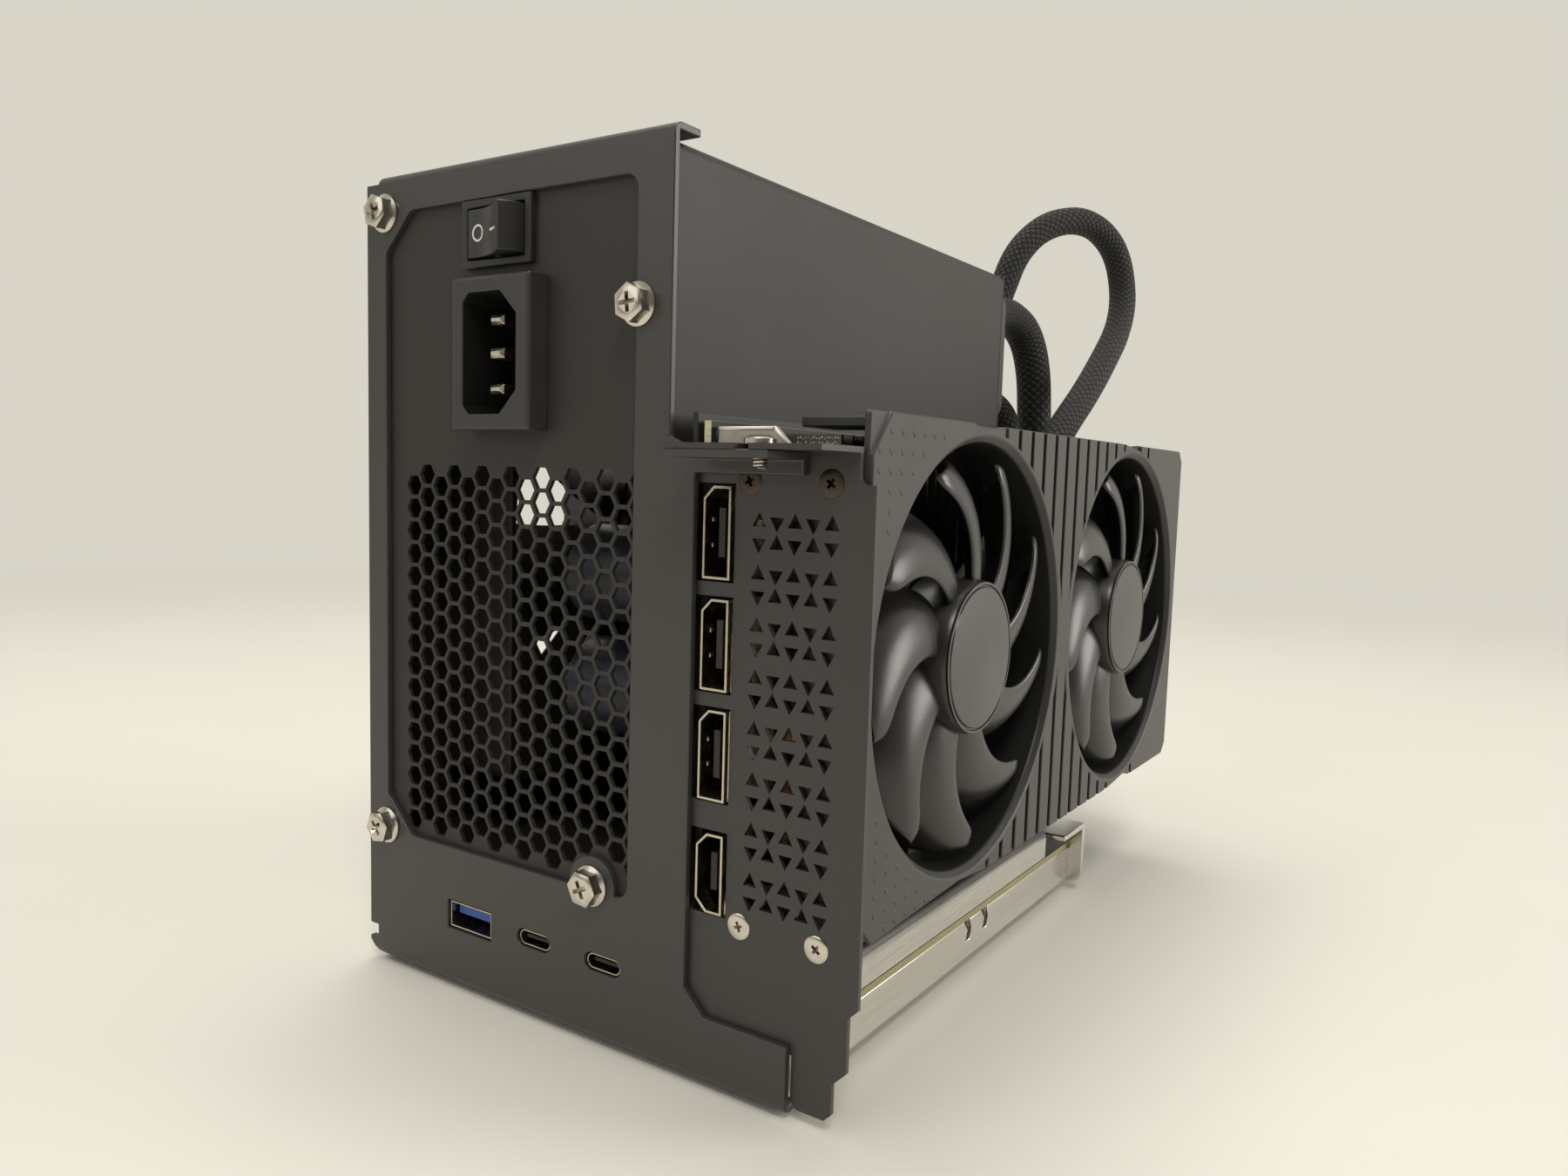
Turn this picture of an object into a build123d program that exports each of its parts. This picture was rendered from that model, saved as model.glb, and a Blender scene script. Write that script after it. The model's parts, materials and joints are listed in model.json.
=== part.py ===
from build123d import *
import math
import os

# Power supply box: standard width, height and screw pattern, seen from the rear plate.
psu_width = 86.0
psu_height = 150.0
psu_depth = 154.0
psu_sheet = 1.0
psu_bend = 2.0
psu_screw_inset = 6.0
psu_screw_rise = 138.0
psu_screw_run = 64.0
psu_side_screw_run = 74.0
psu_side_screw_rise = 114.0
psu_screw_radius = 1.7
psu_screw_length = 6.0
psu_screw_flange_radius = 4.15
psu_screw_flange = 0.8
psu_screw_hex = 3.2
psu_screw_head = 2.6
screw_clearance = 0.1

# Rear plate: one folded sheet.
plate_sheet = 1.5
plate_lap = 0.5
plate_top_gap = 0.8
plate_drop = 26.2
post_lap = 2.0
neck_lap = 8.0
foot_reach = 31.6
foot_rise = 13.0
neck_cut = 4.6
corner_cut = 3.2
top_step = 4.0
top_step_drop = 1.7
edge_notch_width = 2.8
edge_notch_height = 3.0
edge_notch_rise = 4.2
top_flange = 7.5
bottom_flange = 14.0
plate_bend = 2.2
ledge_top = 93.1
ledge_reach = 11.0
ledge_left_gap = 2.0
strip_height = 4.0
neck_slope = 2.5
window_left = 6.1
window_right_margin = 6.7
window_bottom = 5.0
window_top_margin = 6.0
window_corner = 3.0
window_boss_run = 8.2
window_boss_fillet = 3.5
window_low_boss = 6.0
plate_screw_hole = 2.0

# Dock base: tray, board, cover and what stands on the board.
base_left = 1.0
base_past_supply = 31.0
base_near_gap = 0.2
tray_height = 10.0
tray_past_cover = 18.0
tray_wall = 1.5
tray_bend = 1.2
snap_tab_near = 74.8
snap_tab_pitch = 9.8
snap_tab_width = 2.2
snap_tab_depth = 5.0
board_thickness = 1.6
board_past_tray = 10.0
cover_height = 9.1
cover_length = 127.3
cover_wall = 1.5
cover_round = 4.0
cover_slot_gap = 1.0
pillar_radius = 3.0
base_screw_radius = 1.4
base_screw_head_radius = 2.75
base_screw_head = 0.9
base_screw_length = 7.0
base_screw_inset = 20.0
base_screw_setback = 8.5
cover_screw_head = 1.5
cover_screw_inset = 10.0
cover_screw_length = 15.0
foot_pad_radius = 5.0
foot_pad_drop = 1.2
foot_pad_inset = 8.5
foot_pad_setback = 10.0
end_bracket_sheet = 1.5
end_bracket_lip = 4.0
end_bracket_width = 18.0
end_bracket_flange = 15.0
end_bracket_rise = 6.0
end_bracket_gap = 0.2
lip_corner = 3.0

# Sockets in the foot of the plate.
data_socket_x = 33.8
data_socket_width = 13.2
data_socket_height = 5.8
data_socket_length = 16.0
data_socket_wall = 0.35
data_socket_gap = 0.35
data_tongue_width = 11.0
data_tongue_thickness = 1.8
data_tongue_setback = 1.6
socket_setback = 0.6
host_socket_first_x = 53.7
host_socket_pitch = 19.45
host_socket_width = 9.0
host_socket_height = 3.2
host_socket_lift = 1.75
host_socket_length = 10.0
host_socket_wall = 0.3
host_socket_gap = 0.3
host_tongue_width = 6.6
host_tongue_thickness = 0.7
host_tongue_setback = 1.0
insert_clearance = 0.05
insert_block = 4.0

# Power headers at the far edge of the dock board.
main_header_x = 18.0
main_header_width = 52.0
aux_header_x = 74.0
aux_header_width = 18.0
header_height = 10.5
header_depth = 14.0
header_wall = 1.2
header_floor = 3.0
plug_clearance = 0.1
plug_reach = 20.0
plug_insert = 9.0

# Card slot and its latch.
slot_cover_setback = 3.0
slot_length = 89.0
slot_width = 7.6
slot_height = 11.25
slot_groove_clearance = 0.3
slot_groove_depth = 9.0
slot_ear_length = 11.0
slot_ear_height = 8.5
slot_ear_width = 1.5
latch_pivot_setback = 6.5
latch_pivot_height = 3.5
latch_pin_radius = 1.0
latch_clearance = 0.06
latch_side_clearance = 0.3
latch_top_gap = 0.9
latch_nose_drop = 3.0
latch_thickness = 3.2
latch_nose_reach = 1.5
latch_nose_height = 2.2
latch_thumb_reach = 3.0
latch_thumb_height = 1.6
latch_hub_radius = 2.6

# Power supply parts.
rocker_bezel_x = 41.2
rocker_bezel_z = 136.9
rocker_bezel_width = 20.4
rocker_bezel_height = 13.8
rocker_bezel_proud = 1.6
rocker_body_depth = 16.0
rocker_body_inset = 0.8
rocker_half_width = 6.9
rocker_rise = 4.1
rocker_dish = 1.4
rocker_depth = 4.4
rocker_height = 9.8
rocker_clearance = 0.4
rocker_tilt = 18.0
rocker_pin_radius = 1.0
rocker_pin_clearance = 0.06
rocker_pin_length = 1.4
rocker_pivot_depth = 1.4
rocker_floor = 1.6
inlet_x = 43.7
inlet_z = 112.0
inlet_width = 22.6
inlet_height = 31.0
inlet_proud = 5.5
inlet_edge = 0.6
inlet_body_inset = 1.5
inlet_body_depth = 20.0
inlet_mouth_width = 15.4
inlet_mouth_height = 24.4
inlet_mouth_cut = 4.7
inlet_mouth_corner = 1.6
inlet_mouth_depth = 17.0
mains_blade_spacing = 7.0
mains_blade_inset = 6.6
mains_blade_offset = 2.0
mains_blade_width = 4.0
mains_blade_thickness = 2.0
mains_blade_taper = 0.7
mains_blade_setback = 2.8
mains_blade_lead = 1.8
mains_blade_tail = 4.0
hex_pitch_x = 4.4
hex_pitch_z = 5.08
hex_flat = 4.2
hex_first_x = 13.7
hex_first_z = 8.4
hex_columns = 16
hex_rows = 16
hex_screw_gap = 6.4
panel_cut_clearance = 0.1
fan_opening_radius = 57.0
psu_fan_size = 120.0
psu_fan_depth = 25.0
psu_fan_wall = 1.5
psu_fan_hub_radius = 20.0
psu_fan_blades = 7
psu_fan_tip_gap = 1.2
psu_blade_pitch = (42, 34, 26)
psu_blade_chord = (22, 30, 38)
psu_blade_sweep = (0, -8, -14)
guard_wire = 1.2
guard_rings = 4
guard_hub_radius = 12.0
guard_tab_radius = 62.0
psu_board_gap = 4.0
psu_board_margin = 6.0
standoff_radius = 2.5
heatsink_height = 38.0
heatsink_length = 90.0
heatsink_thickness = 3.0
heatsink_fins = 5
heatsink_fin_height = 8.0
heatsink_setback = 36.0
heatsink_spots = (30.0, 96.0)
transformer_size = 34.0
transformer_core = 22.0
transformer_y = 95.0
transformer_z = 68.0
capacitor_radius = 11.0
capacitor_height = 36.0
capacitor_spots = [(30.0, 40.0), (30.0, 66.0)]
choke_radius = 12.0
choke_hole = 5.0
choke_height = 11.0
choke_round = 3.0
choke_y = 125.0
choke_z = 68.0
gland_x = 63.0
gland_z = 127.0
gland_width = 44.0
gland_height = 40.0
gland_thickness = 5.0
gland_round = 6.0

# Graphics card.
card_gap = 7.0
card_board_near = 4.0
card_board_length = 172.0
card_board_bottom = 1.5
card_board_top = 98.7
card_board_thickness = 1.6
card_edge_near_margin = 4.0
card_edge_far_margin = 2.0
card_edge_clearance = 1.0
card_tail_gap = 0.6
tail_latch_gap = 0.4
tail_lip = 1.0
bracket_sheet = 1.0
bracket_left_gap = 2.5
bracket_width = 40.7
bracket_notch_width = 3.2
bracket_notch_z = 87.7
bracket_notch_round = 1.6
bracket_flange_gap = 0.5
bracket_corner = 7.5
tongue_left_gap = 0.3
tongue_width = 8.6
tongue_lift = 1.3
tongue_corner = 1.4
bracket_side_step = 1.9
bracket_side_step_z = -3.0
bracket_hook_z = -15.0
bracket_hook = 2.8
display_first_z = 78.3
display_pitch = 20.6
display_count = 3
display_offset = 1.1
display_width = 6.2
display_height = 17.0
display_cut = 2.2
display_length = 16.0
display_wall = 0.5
display_proud = 0.8
display_hole_gap = 0.5
display_hole_side = 3.0
display_tongue = 1.4
display_tongue_setback = 1.8
display_cap = 1.5
video_z = 14.7
video_height = 15.2
video_cut = 2.4
vent_first_x = 107.7
vent_pitch_x = 3.78
vent_columns = 5
vent_top_z = 80.7
vent_row_step = 3.9
vent_pair_pitch = 9.4
vent_pairs = 8
vent_radius = 1.75
bracket_screw_left = 105.5
bracket_screw_right = 122.4
bracket_screw_low = 5.9
bracket_screw_high = 87.8
bracket_screw_head_radius = 2.5
bracket_screw_head = 0.6
bracket_screw_radius = 1.25
bracket_screw_length = 3.4
retaining_screw_x = 112.3
retaining_screw_reach = 5.5
retaining_screw_radius = 1.4
retaining_screw_head_radius = 2.8
retaining_screw_head = 1.5
retaining_screw_round = 1.0
retaining_screw_length = 4.3
backplate_sheet = 1.2
backplate_gap = 0.9
backplate_bottom = 8.0
backplate_top = 100.2
backplate_near = 3.2
backplate_boss_inset = 12.0
backplate_boss_radius = 2.5
backplate_slots = 7
backplate_slot_pitch = 11.0
backplate_slot_length = 14.0
backplate_slot_width = 3.0
chip_size = 38.0
chip_height = 2.0
cold_plate_margin = 6.0
cold_plate_thickness = 1.9
fin_slab = 7.4
fin_height = 7.1
fin_near = 20.0
fin_far = 150.0
fin_low_far = 188.0
fin_bottom = 10.0
fin_top = 97.0
fin_low_top = 48.0
fin_pitch = 4.0
fin_thickness = 0.7
pipe_radius = 3.0
pipe_clearance = 0.03
pipe_first_z = 16.0
pipe_pitch = 11.0
pipe_count = 3
pipe_overhang = 1.5
frame_tab_near = 5.2
frame_tab_bottom = 89.0
frame_tab_top = 97.7
frame_tab_width = 16.0
frame_tab_cut = 3.0
frame_tab_sheet = 1.0
frame_tab_length = 24.0
frame_tab_setback = 3.3
shroud_face = 43.5
shroud_depth = 25.5
shroud_near_gap = 0.5
shroud_length = 194.5
shroud_bottom = 6.3
shroud_top = 100.4
shroud_wall = 2.0
shroud_low_cut = 5.5
shroud_top_cut = 0.5
shroud_far_cut = 3.0
shroud_vent_depth = 13.0
shroud_vent_margin = 30.0
shroud_mouth_depth = 17.0
shroud_mouth_low = 92.0
shroud_nick_run = 6.4
shroud_nick_drop = 7.6
shroud_nick_depth = 0.8
shroud_end_window_low = 13.0
shroud_end_window_high = 81.0
fan_front_y = 50.3
fan_pitch = 98.5
fan_z = 53.2
fan_bore = 43.7
fan_bevel = 2.6
fan_collar = 1.6
fan_collar_depth = 11.0
groove_width = 1.6
groove_depth = 1.1
groove_first_y = 44.0
groove_pitch = 7.3
groove_count = 17
groove_ring_gap = 1.0
carrier_plate = 2.6
carrier_radius = 16.0
carrier_arm_width = 6.0
carrier_arms = 3
stator_radius = 12.0
stator_height = 7.0
bearing_radius = 4.0
bearing_height = 9.5
shaft_radius = 1.5
shaft_clearance = 0.05
shaft_end_gap = 0.4
hub_radius = 15.9
hub_proud = 0.5
hub_wall = 1.8
hub_lift = 1.2
hub_round = 1.0
card_fan_blades = 9
card_fan_turn = -9.0
fan_tip_gap = 1.0
blade_thickness = 1.3
card_blade_pitch = (44, 38, 33, 28)
card_blade_chord = (12, 17, 21, 24)
card_blade_sweep = (0, 9, 21, 37)
power_socket_y = 151.5
power_socket_width = 19.0
power_socket_depth = 11.0
power_socket_bottom = 52.0
power_socket_height = 14.0
card_plug_reach = 13.0
card_plug_insert = 8.0
boot_length = 6.0
boot_wall = 0.8

# Leads.
card_lead_diameter = 9.0
main_lead_diameter = 11.0
aux_lead_diameter = 9.0
arc_share = 0.45

# Places that follow from the sizes above, with X from the power supply's left side,
# Y from the plate's outer face and Z from the power supply's bottom.
plate_left = -plate_lap
plate_bottom = -plate_drop
plate_top = psu_height + plate_top_gap + plate_sheet
post_x = psu_width + post_lap
neck_x = psu_width + neck_lap
foot_x = psu_width + foot_reach
foot_top = plate_bottom + foot_rise
floor_z = plate_bottom - foot_pad_drop
window_right = psu_width - window_right_margin
window_top = psu_height - window_top_margin
psu_near = plate_sheet
psu_inside_near = psu_near + psu_sheet
psu_far = psu_near + psu_depth
psu_mid_y = (psu_inside_near + psu_far) / 2
psu_screw_spots = [
    (psu_screw_inset, psu_screw_inset + psu_screw_rise),
    (psu_screw_inset, psu_screw_inset),
    (psu_screw_inset + psu_screw_run, psu_screw_inset),
    (psu_screw_inset + psu_side_screw_run, psu_screw_inset + psu_side_screw_rise),
]
base_near = plate_sheet + bracket_sheet + base_near_gap
base_right = psu_width + base_past_supply
base_screw_spots = [
    (base_left + base_screw_inset, base_screw_setback),
    (base_right - base_screw_inset, base_screw_setback),
]
tray_bottom = plate_bottom + plate_sheet
cover_far = base_near + cover_length
tray_far = cover_far + tray_past_cover
board_bottom = tray_bottom + tray_height
board_top = board_bottom + board_thickness
board_far = tray_far + board_past_tray
cover_top = board_top + cover_height
card_board_x = psu_width + card_gap
card_face_x = card_board_x + card_board_thickness
card_mid_x = card_board_x + card_board_thickness / 2
slot_far = cover_far - slot_cover_setback
slot_near = slot_far - slot_length
card_edge_near = slot_near + card_edge_near_margin
card_edge_far = slot_far - card_edge_far_margin
slot_top = board_top + slot_height
slot_left = card_mid_x - slot_width / 2
slot_right = card_mid_x + slot_width / 2
bracket_left = card_board_x - bracket_left_gap
bracket_right = bracket_left + bracket_width
bracket_top = ledge_top + bracket_sheet
bracket_back = plate_sheet + bracket_sheet
tongue_left = foot_x + tongue_left_gap
tongue_right = tongue_left + tongue_width
tongue_bottom = plate_bottom + tongue_lift
slab_back = card_face_x + chip_height + cold_plate_thickness
slab_front = slab_back + fin_slab
shroud_x = psu_width + shroud_face
shroud_back = shroud_x - shroud_depth
shroud_near = bracket_back + shroud_near_gap
shroud_far = shroud_near + shroud_length
backplate_front = card_board_x - backplate_gap
backplate_back = backplate_front - backplate_sheet
fan_rear_y = fan_front_y + fan_pitch
carrier_front = shroud_x - shroud_wall - fan_collar_depth
carrier_back = carrier_front - carrier_plate
guard_left = -guard_wire
data_socket_z = board_top + data_socket_height / 2
host_socket_z = board_top + host_socket_lift + host_socket_height / 2
host_socket_spots = [host_socket_first_x, host_socket_first_x + host_socket_pitch]
header_far = board_far
display_x = card_face_x + display_offset + display_width / 2
display_spots = [display_first_z - i * display_pitch for i in range(display_count)]
latch_pivot_y = slot_far + latch_pivot_setback
latch_pivot_z = board_top + latch_pivot_height

# The model's origin is the middle of its footprint, on the surface that it stands on.
origin_x = (guard_left + bracket_right) / 2
origin_y = (shroud_far - ledge_reach) / 2
shift = Vector(-origin_x, -origin_y, -floor_z)


def rear_plane(y):
    """Plane facing the viewer of the sockets: local x is X, local y is Z, normal -Y."""
    return Plane(origin=shift + Vector(0, y, 0), x_dir=(1, 0, 0), z_dir=(0, -1, 0))


def side_plane(x):
    """Plane facing +X: local x is Y, local y is Z."""
    return Plane(origin=shift + Vector(x, 0, 0), x_dir=(0, 1, 0), z_dir=(1, 0, 0))


def level_plane(z):
    """Plane facing +Z: local x is X, local y is Y."""
    return Plane(origin=shift + Vector(0, 0, z), x_dir=(1, 0, 0), z_dir=(0, 0, 1))


def span(x, z):
    """Add a rectangle between the ends x = (low, high) and z = (low, high) to the sketch."""
    with Locations(((x[0] + x[1]) / 2, (z[0] + z[1]) / 2)):
        return Rectangle(x[1] - x[0], z[1] - z[0])


def cut_span(x, z):
    """Cut a rectangle between the ends x = (low, high) and z = (low, high) from the sketch."""
    with Locations(((x[0] + x[1]) / 2, (z[0] + z[1]) / 2)):
        return Rectangle(x[1] - x[0], z[1] - z[0], mode=Mode.SUBTRACT)


def save(part, name):
    """Label a finished piece and write it."""
    part.label = name
    export_step(part, f"parts/{name}.step")


# Rear plate
with BuildPart() as rear_plate:
    with BuildSketch(rear_plane(0)):
        with BuildLine():
            Polyline(
                (plate_left, plate_bottom + corner_cut),
                (plate_left + corner_cut, plate_bottom),
                (foot_x, plate_bottom),
                (foot_x, foot_top),
                (neck_x + neck_cut, foot_top),
                (neck_x, foot_top + neck_cut),
                (neck_x, ledge_top - strip_height),
                (foot_x, ledge_top - strip_height),
                (foot_x, ledge_top),
                (neck_x, ledge_top),
                (post_x, ledge_top + neck_slope),
                (post_x, plate_top),
                (plate_left + top_step, plate_top),
                (plate_left + top_step, plate_top - top_step_drop),
                (plate_left, plate_top - top_step_drop),
                close=True,
            )
        make_face()
        notch_low = plate_bottom + edge_notch_rise
        cut_span((plate_left, plate_left + edge_notch_width), (notch_low, notch_low + edge_notch_height))
        with Locations(*psu_screw_spots):
            Circle(plate_screw_hole, mode=Mode.SUBTRACT)
        with Locations((data_socket_x, data_socket_z)):
            Rectangle(
                data_socket_width + 2 * data_socket_gap,
                data_socket_height + 2 * data_socket_gap,
                mode=Mode.SUBTRACT,
            )
        with Locations(*[(x, host_socket_z) for x in host_socket_spots]):
            SlotOverall(
                host_socket_width + 2 * host_socket_gap,
                host_socket_height + 2 * host_socket_gap,
                mode=Mode.SUBTRACT,
            )
    extrude(amount=-plate_sheet)
    with BuildSketch(rear_plane(0)) as window:
        with BuildLine():
            Polyline(
                (window_left + window_boss_run, window_bottom),
                (window_right, window_bottom),
                (window_right, window_top),
                (window_left + window_boss_run, window_top),
                (window_left, window_top - window_boss_run),
                (window_left, window_bottom + window_boss_run),
                close=True,
            )
        make_face()
        right_corners = window.vertices().sort_by(Axis.X)[-2:]
        fillet(right_corners, window_corner)
        boss_corners = window.vertices().sort_by(Axis.X)[:4]
        fillet(boss_corners, window_boss_fillet)
        with Locations(psu_screw_spots[2]):
            Circle(window_low_boss, mode=Mode.SUBTRACT)
    extrude(amount=-plate_sheet, mode=Mode.SUBTRACT)
    with BuildSketch(side_plane(plate_left + top_step)):
        span((0, top_flange), (plate_top - plate_sheet, plate_top))
    extrude(amount=post_x - plate_left - top_step)
    with BuildSketch(side_plane(plate_left + corner_cut)):
        span((0, bottom_flange), (plate_bottom, plate_bottom + plate_sheet))
    extrude(amount=foot_x - plate_left - corner_cut)
    with BuildSketch(side_plane(neck_x + ledge_left_gap)):
        span((-ledge_reach, plate_sheet), (ledge_top - plate_sheet, ledge_top))
    extrude(amount=foot_x - neck_x - ledge_left_gap)
    with BuildSketch(side_plane(plate_left)):
        span((0, plate_bend), (plate_bottom, plate_bottom + plate_bend))
        span((0, plate_bend), (plate_top - plate_bend, plate_top))
        with Locations((plate_bend, plate_bottom + plate_bend), (plate_bend, plate_top - plate_bend)):
            Circle(plate_bend, mode=Mode.SUBTRACT)
    extrude(amount=foot_x - plate_left, mode=Mode.SUBTRACT)
    with BuildSketch(level_plane(plate_bottom)):
        with Locations(*base_screw_spots):
            Circle(base_screw_radius + screw_clearance)
    extrude(amount=plate_sheet, mode=Mode.SUBTRACT)
    with BuildSketch(level_plane(ledge_top)):
        with Locations((retaining_screw_x, -retaining_screw_reach)):
            Circle(retaining_screw_radius + screw_clearance)
    extrude(amount=-plate_sheet, mode=Mode.SUBTRACT)
save(rear_plate.part, "rear_plate")

# Screws that hold the power supply to the plate
with BuildPart() as psu_screws:
    with BuildSketch(rear_plane(0)):
        with Locations(*psu_screw_spots):
            Circle(psu_screw_flange_radius)
    extrude(amount=psu_screw_flange)
    with BuildSketch(rear_plane(-psu_screw_flange)):
        with Locations(*psu_screw_spots):
            RegularPolygon(psu_screw_hex, 6, major_radius=False)
    extrude(amount=psu_screw_head)
    with BuildSketch(rear_plane(0)):
        with Locations(*psu_screw_spots):
            Circle(psu_screw_radius)
    extrude(amount=-psu_screw_length)
save(psu_screws.part, "psu_screws")

# Base tray: folded aluminium channel with pillars for the cover screws
cover_screw_spots = [
    (base_left + cover_screw_inset, base_near + cover_screw_inset),
    (base_right - cover_screw_inset, base_near + cover_screw_inset),
    (base_left + cover_screw_inset, cover_far - cover_screw_inset),
    (base_right - cover_screw_inset, cover_far - cover_screw_inset),
]
with BuildPart() as base_tray:
    with BuildSketch(rear_plane(base_near)) as channel:
        span((base_left, base_right), (tray_bottom, board_bottom))
        fillet(channel.vertices().group_by(Axis.Y)[0], tray_bend)
        cut_span(
            (base_left + tray_wall, base_right - tray_wall),
            (tray_bottom + tray_wall, board_bottom),
        )
    extrude(amount=-(tray_far - base_near))
    with BuildSketch(level_plane(tray_bottom + tray_wall)):
        with Locations(*cover_screw_spots):
            Circle(pillar_radius)
    extrude(amount=tray_height - tray_wall)
    with BuildSketch(level_plane(board_bottom)):
        with Locations(*cover_screw_spots):
            Circle(base_screw_radius + screw_clearance)
    extrude(amount=-(tray_height - tray_wall), mode=Mode.SUBTRACT)
    with BuildSketch(level_plane(tray_bottom)):
        with Locations(*base_screw_spots):
            Circle(base_screw_radius + screw_clearance)
    extrude(amount=tray_wall, mode=Mode.SUBTRACT)
    with BuildSketch(side_plane(base_right)):
        for i in range(2):
            slit = base_near + snap_tab_near + i * snap_tab_pitch
            with BuildLine():
                Polyline(
                    (slit, board_bottom),
                    (slit + snap_tab_width, board_bottom - snap_tab_depth / 2),
                    (slit + snap_tab_width / 2, board_bottom - snap_tab_depth),
                    (slit + 1.5 * snap_tab_width, board_bottom - snap_tab_depth),
                    (slit + 2 * snap_tab_width, board_bottom - snap_tab_depth / 2),
                    (slit + 1.5 * snap_tab_width, board_bottom),
                    close=True,
                )
            make_face()
    extrude(amount=-tray_wall, mode=Mode.SUBTRACT)
save(base_tray.part, "base_tray")

# Dock board
with BuildPart() as dock_board:
    with BuildSketch(level_plane(board_bottom)):
        span((base_left, base_right), (base_near, board_far))
        with Locations(*cover_screw_spots):
            Circle(base_screw_radius + screw_clearance, mode=Mode.SUBTRACT)
    extrude(amount=board_thickness)
save(dock_board.part, "dock_board")

# Top cover: folded lid with rounded long edges, open at the socket end
with BuildPart() as top_cover:
    with BuildSketch(rear_plane(base_near)) as lid:
        span((base_left, base_right), (board_top, cover_top))
        fillet(lid.vertices().group_by(Axis.Y)[-1], cover_round)
    extrude(amount=-cover_length)
    with BuildSketch(rear_plane(base_near)) as hollow:
        span((base_left + cover_wall, base_right - cover_wall), (board_top, cover_top - cover_wall))
        fillet(hollow.vertices().group_by(Axis.Y)[-1], cover_round - cover_wall)
    extrude(amount=-(cover_length - cover_wall), mode=Mode.SUBTRACT)
    with BuildSketch(level_plane(cover_top)):
        span(
            (slot_left - cover_slot_gap, slot_right + cover_slot_gap),
            (slot_near - cover_slot_gap, cover_far),
        )
        with Locations(*cover_screw_spots):
            Circle(base_screw_radius + screw_clearance)
    extrude(amount=-cover_height, mode=Mode.SUBTRACT)
save(top_cover.part, "top_cover")

# Screws that hold the cover and the board to the tray
with BuildPart() as cover_screws:
    with BuildSketch(level_plane(cover_top)):
        with Locations(*cover_screw_spots):
            Circle(base_screw_head_radius)
    extrude(amount=cover_screw_head)
    with BuildSketch(level_plane(cover_top)):
        with Locations(*cover_screw_spots):
            Circle(base_screw_radius)
    extrude(amount=-cover_screw_length)
save(cover_screws.part, "cover_screws")

# Screws that hold the tray to the plate's bottom flange
with BuildPart() as base_screws:
    with BuildSketch(level_plane(plate_bottom)):
        with Locations(*base_screw_spots):
            Circle(base_screw_head_radius)
    extrude(amount=-base_screw_head)
    with BuildSketch(level_plane(plate_bottom)):
        with Locations(*base_screw_spots):
            Circle(base_screw_radius)
    extrude(amount=base_screw_length)
save(base_screws.part, "base_screws")

# Foot pads: two under the plate's flange, two under the far end of the tray
with BuildPart() as foot_pads:
    with BuildSketch(level_plane(floor_z)):
        with Locations(
            (base_left + foot_pad_inset, foot_pad_setback),
            (base_right - foot_pad_inset, foot_pad_setback),
        ):
            RegularPolygon(foot_pad_radius, 12)
    extrude(amount=foot_pad_drop)
    with BuildSketch(level_plane(floor_z)):
        with Locations(
            (base_left + foot_pad_inset, tray_far - foot_pad_setback),
            (base_right - foot_pad_inset, tray_far - foot_pad_setback),
        ):
            RegularPolygon(foot_pad_radius, 12)
    extrude(amount=tray_bottom - floor_z)
save(foot_pads.part, "foot_pads")

# End bracket: closes the far end of the tray, rises past the board and folds over it
end_near = tray_far + end_bracket_gap
end_left = base_right - end_bracket_width
lip_left = base_right + end_bracket_gap
lip_right = lip_left + end_bracket_lip
flange_top = board_top + end_bracket_rise
with BuildPart() as end_bracket:
    with BuildSketch(rear_plane(end_near)) as end_face:
        span((end_left, lip_right), (tray_bottom, board_bottom))
        span((lip_left, lip_right), (tray_bottom, flange_top))
        lip_low = end_face.vertices().group_by(Axis.Y)[0].sort_by(Axis.X)[-1]
        fillet(lip_low, lip_corner)
    extrude(amount=-end_bracket_sheet)
    with BuildSketch(level_plane(flange_top)):
        span((end_left, lip_right), (end_near - end_bracket_flange, end_near + end_bracket_sheet))
    extrude(amount=-end_bracket_sheet)
    with BuildSketch(rear_plane(end_near - end_bracket_flange)):
        span((end_left, end_left + end_bracket_sheet), (board_top, flange_top))
    extrude(amount=-(end_bracket_flange + end_bracket_sheet))
save(end_bracket.part, "end_bracket")

# Data socket in the foot of the plate: folded shell with a tongue
socket_near = socket_setback
data_inner_width = data_socket_width - 2 * data_socket_wall
data_inner_height = data_socket_height - 2 * data_socket_wall
with BuildPart() as data_socket_shell:
    with BuildSketch(rear_plane(socket_near)):
        with Locations((data_socket_x, data_socket_z)):
            Rectangle(data_socket_width, data_socket_height)
            Rectangle(data_inner_width, data_inner_height, mode=Mode.SUBTRACT)
    extrude(amount=-data_socket_length)
save(data_socket_shell.part, "data_socket_shell")

with BuildPart() as data_socket_insert:
    with BuildSketch(rear_plane(socket_near + data_socket_length - insert_block)):
        with Locations((data_socket_x, data_socket_z)):
            Rectangle(data_inner_width - 2 * insert_clearance, data_inner_height - 2 * insert_clearance)
    extrude(amount=-insert_block)
    with BuildSketch(rear_plane(socket_near + data_tongue_setback)):
        with Locations((data_socket_x, data_socket_z + data_inner_height / 2 - data_tongue_thickness)):
            Rectangle(data_tongue_width, data_tongue_thickness)
    extrude(amount=-(data_socket_length - insert_block - data_tongue_setback))
save(data_socket_insert.part, "data_socket_insert")

# Two host sockets: rounded shells on a foot that stands on the board
with BuildPart() as host_socket_shells:
    with BuildSketch(rear_plane(socket_near)):
        with Locations(*[(x, host_socket_z) for x in host_socket_spots]):
            SlotOverall(host_socket_width, host_socket_height)
            SlotOverall(
                host_socket_width - 2 * host_socket_wall,
                host_socket_height - 2 * host_socket_wall,
                mode=Mode.SUBTRACT,
            )
    extrude(amount=-host_socket_length)
save(host_socket_shells.part, "host_socket_shells")

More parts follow.
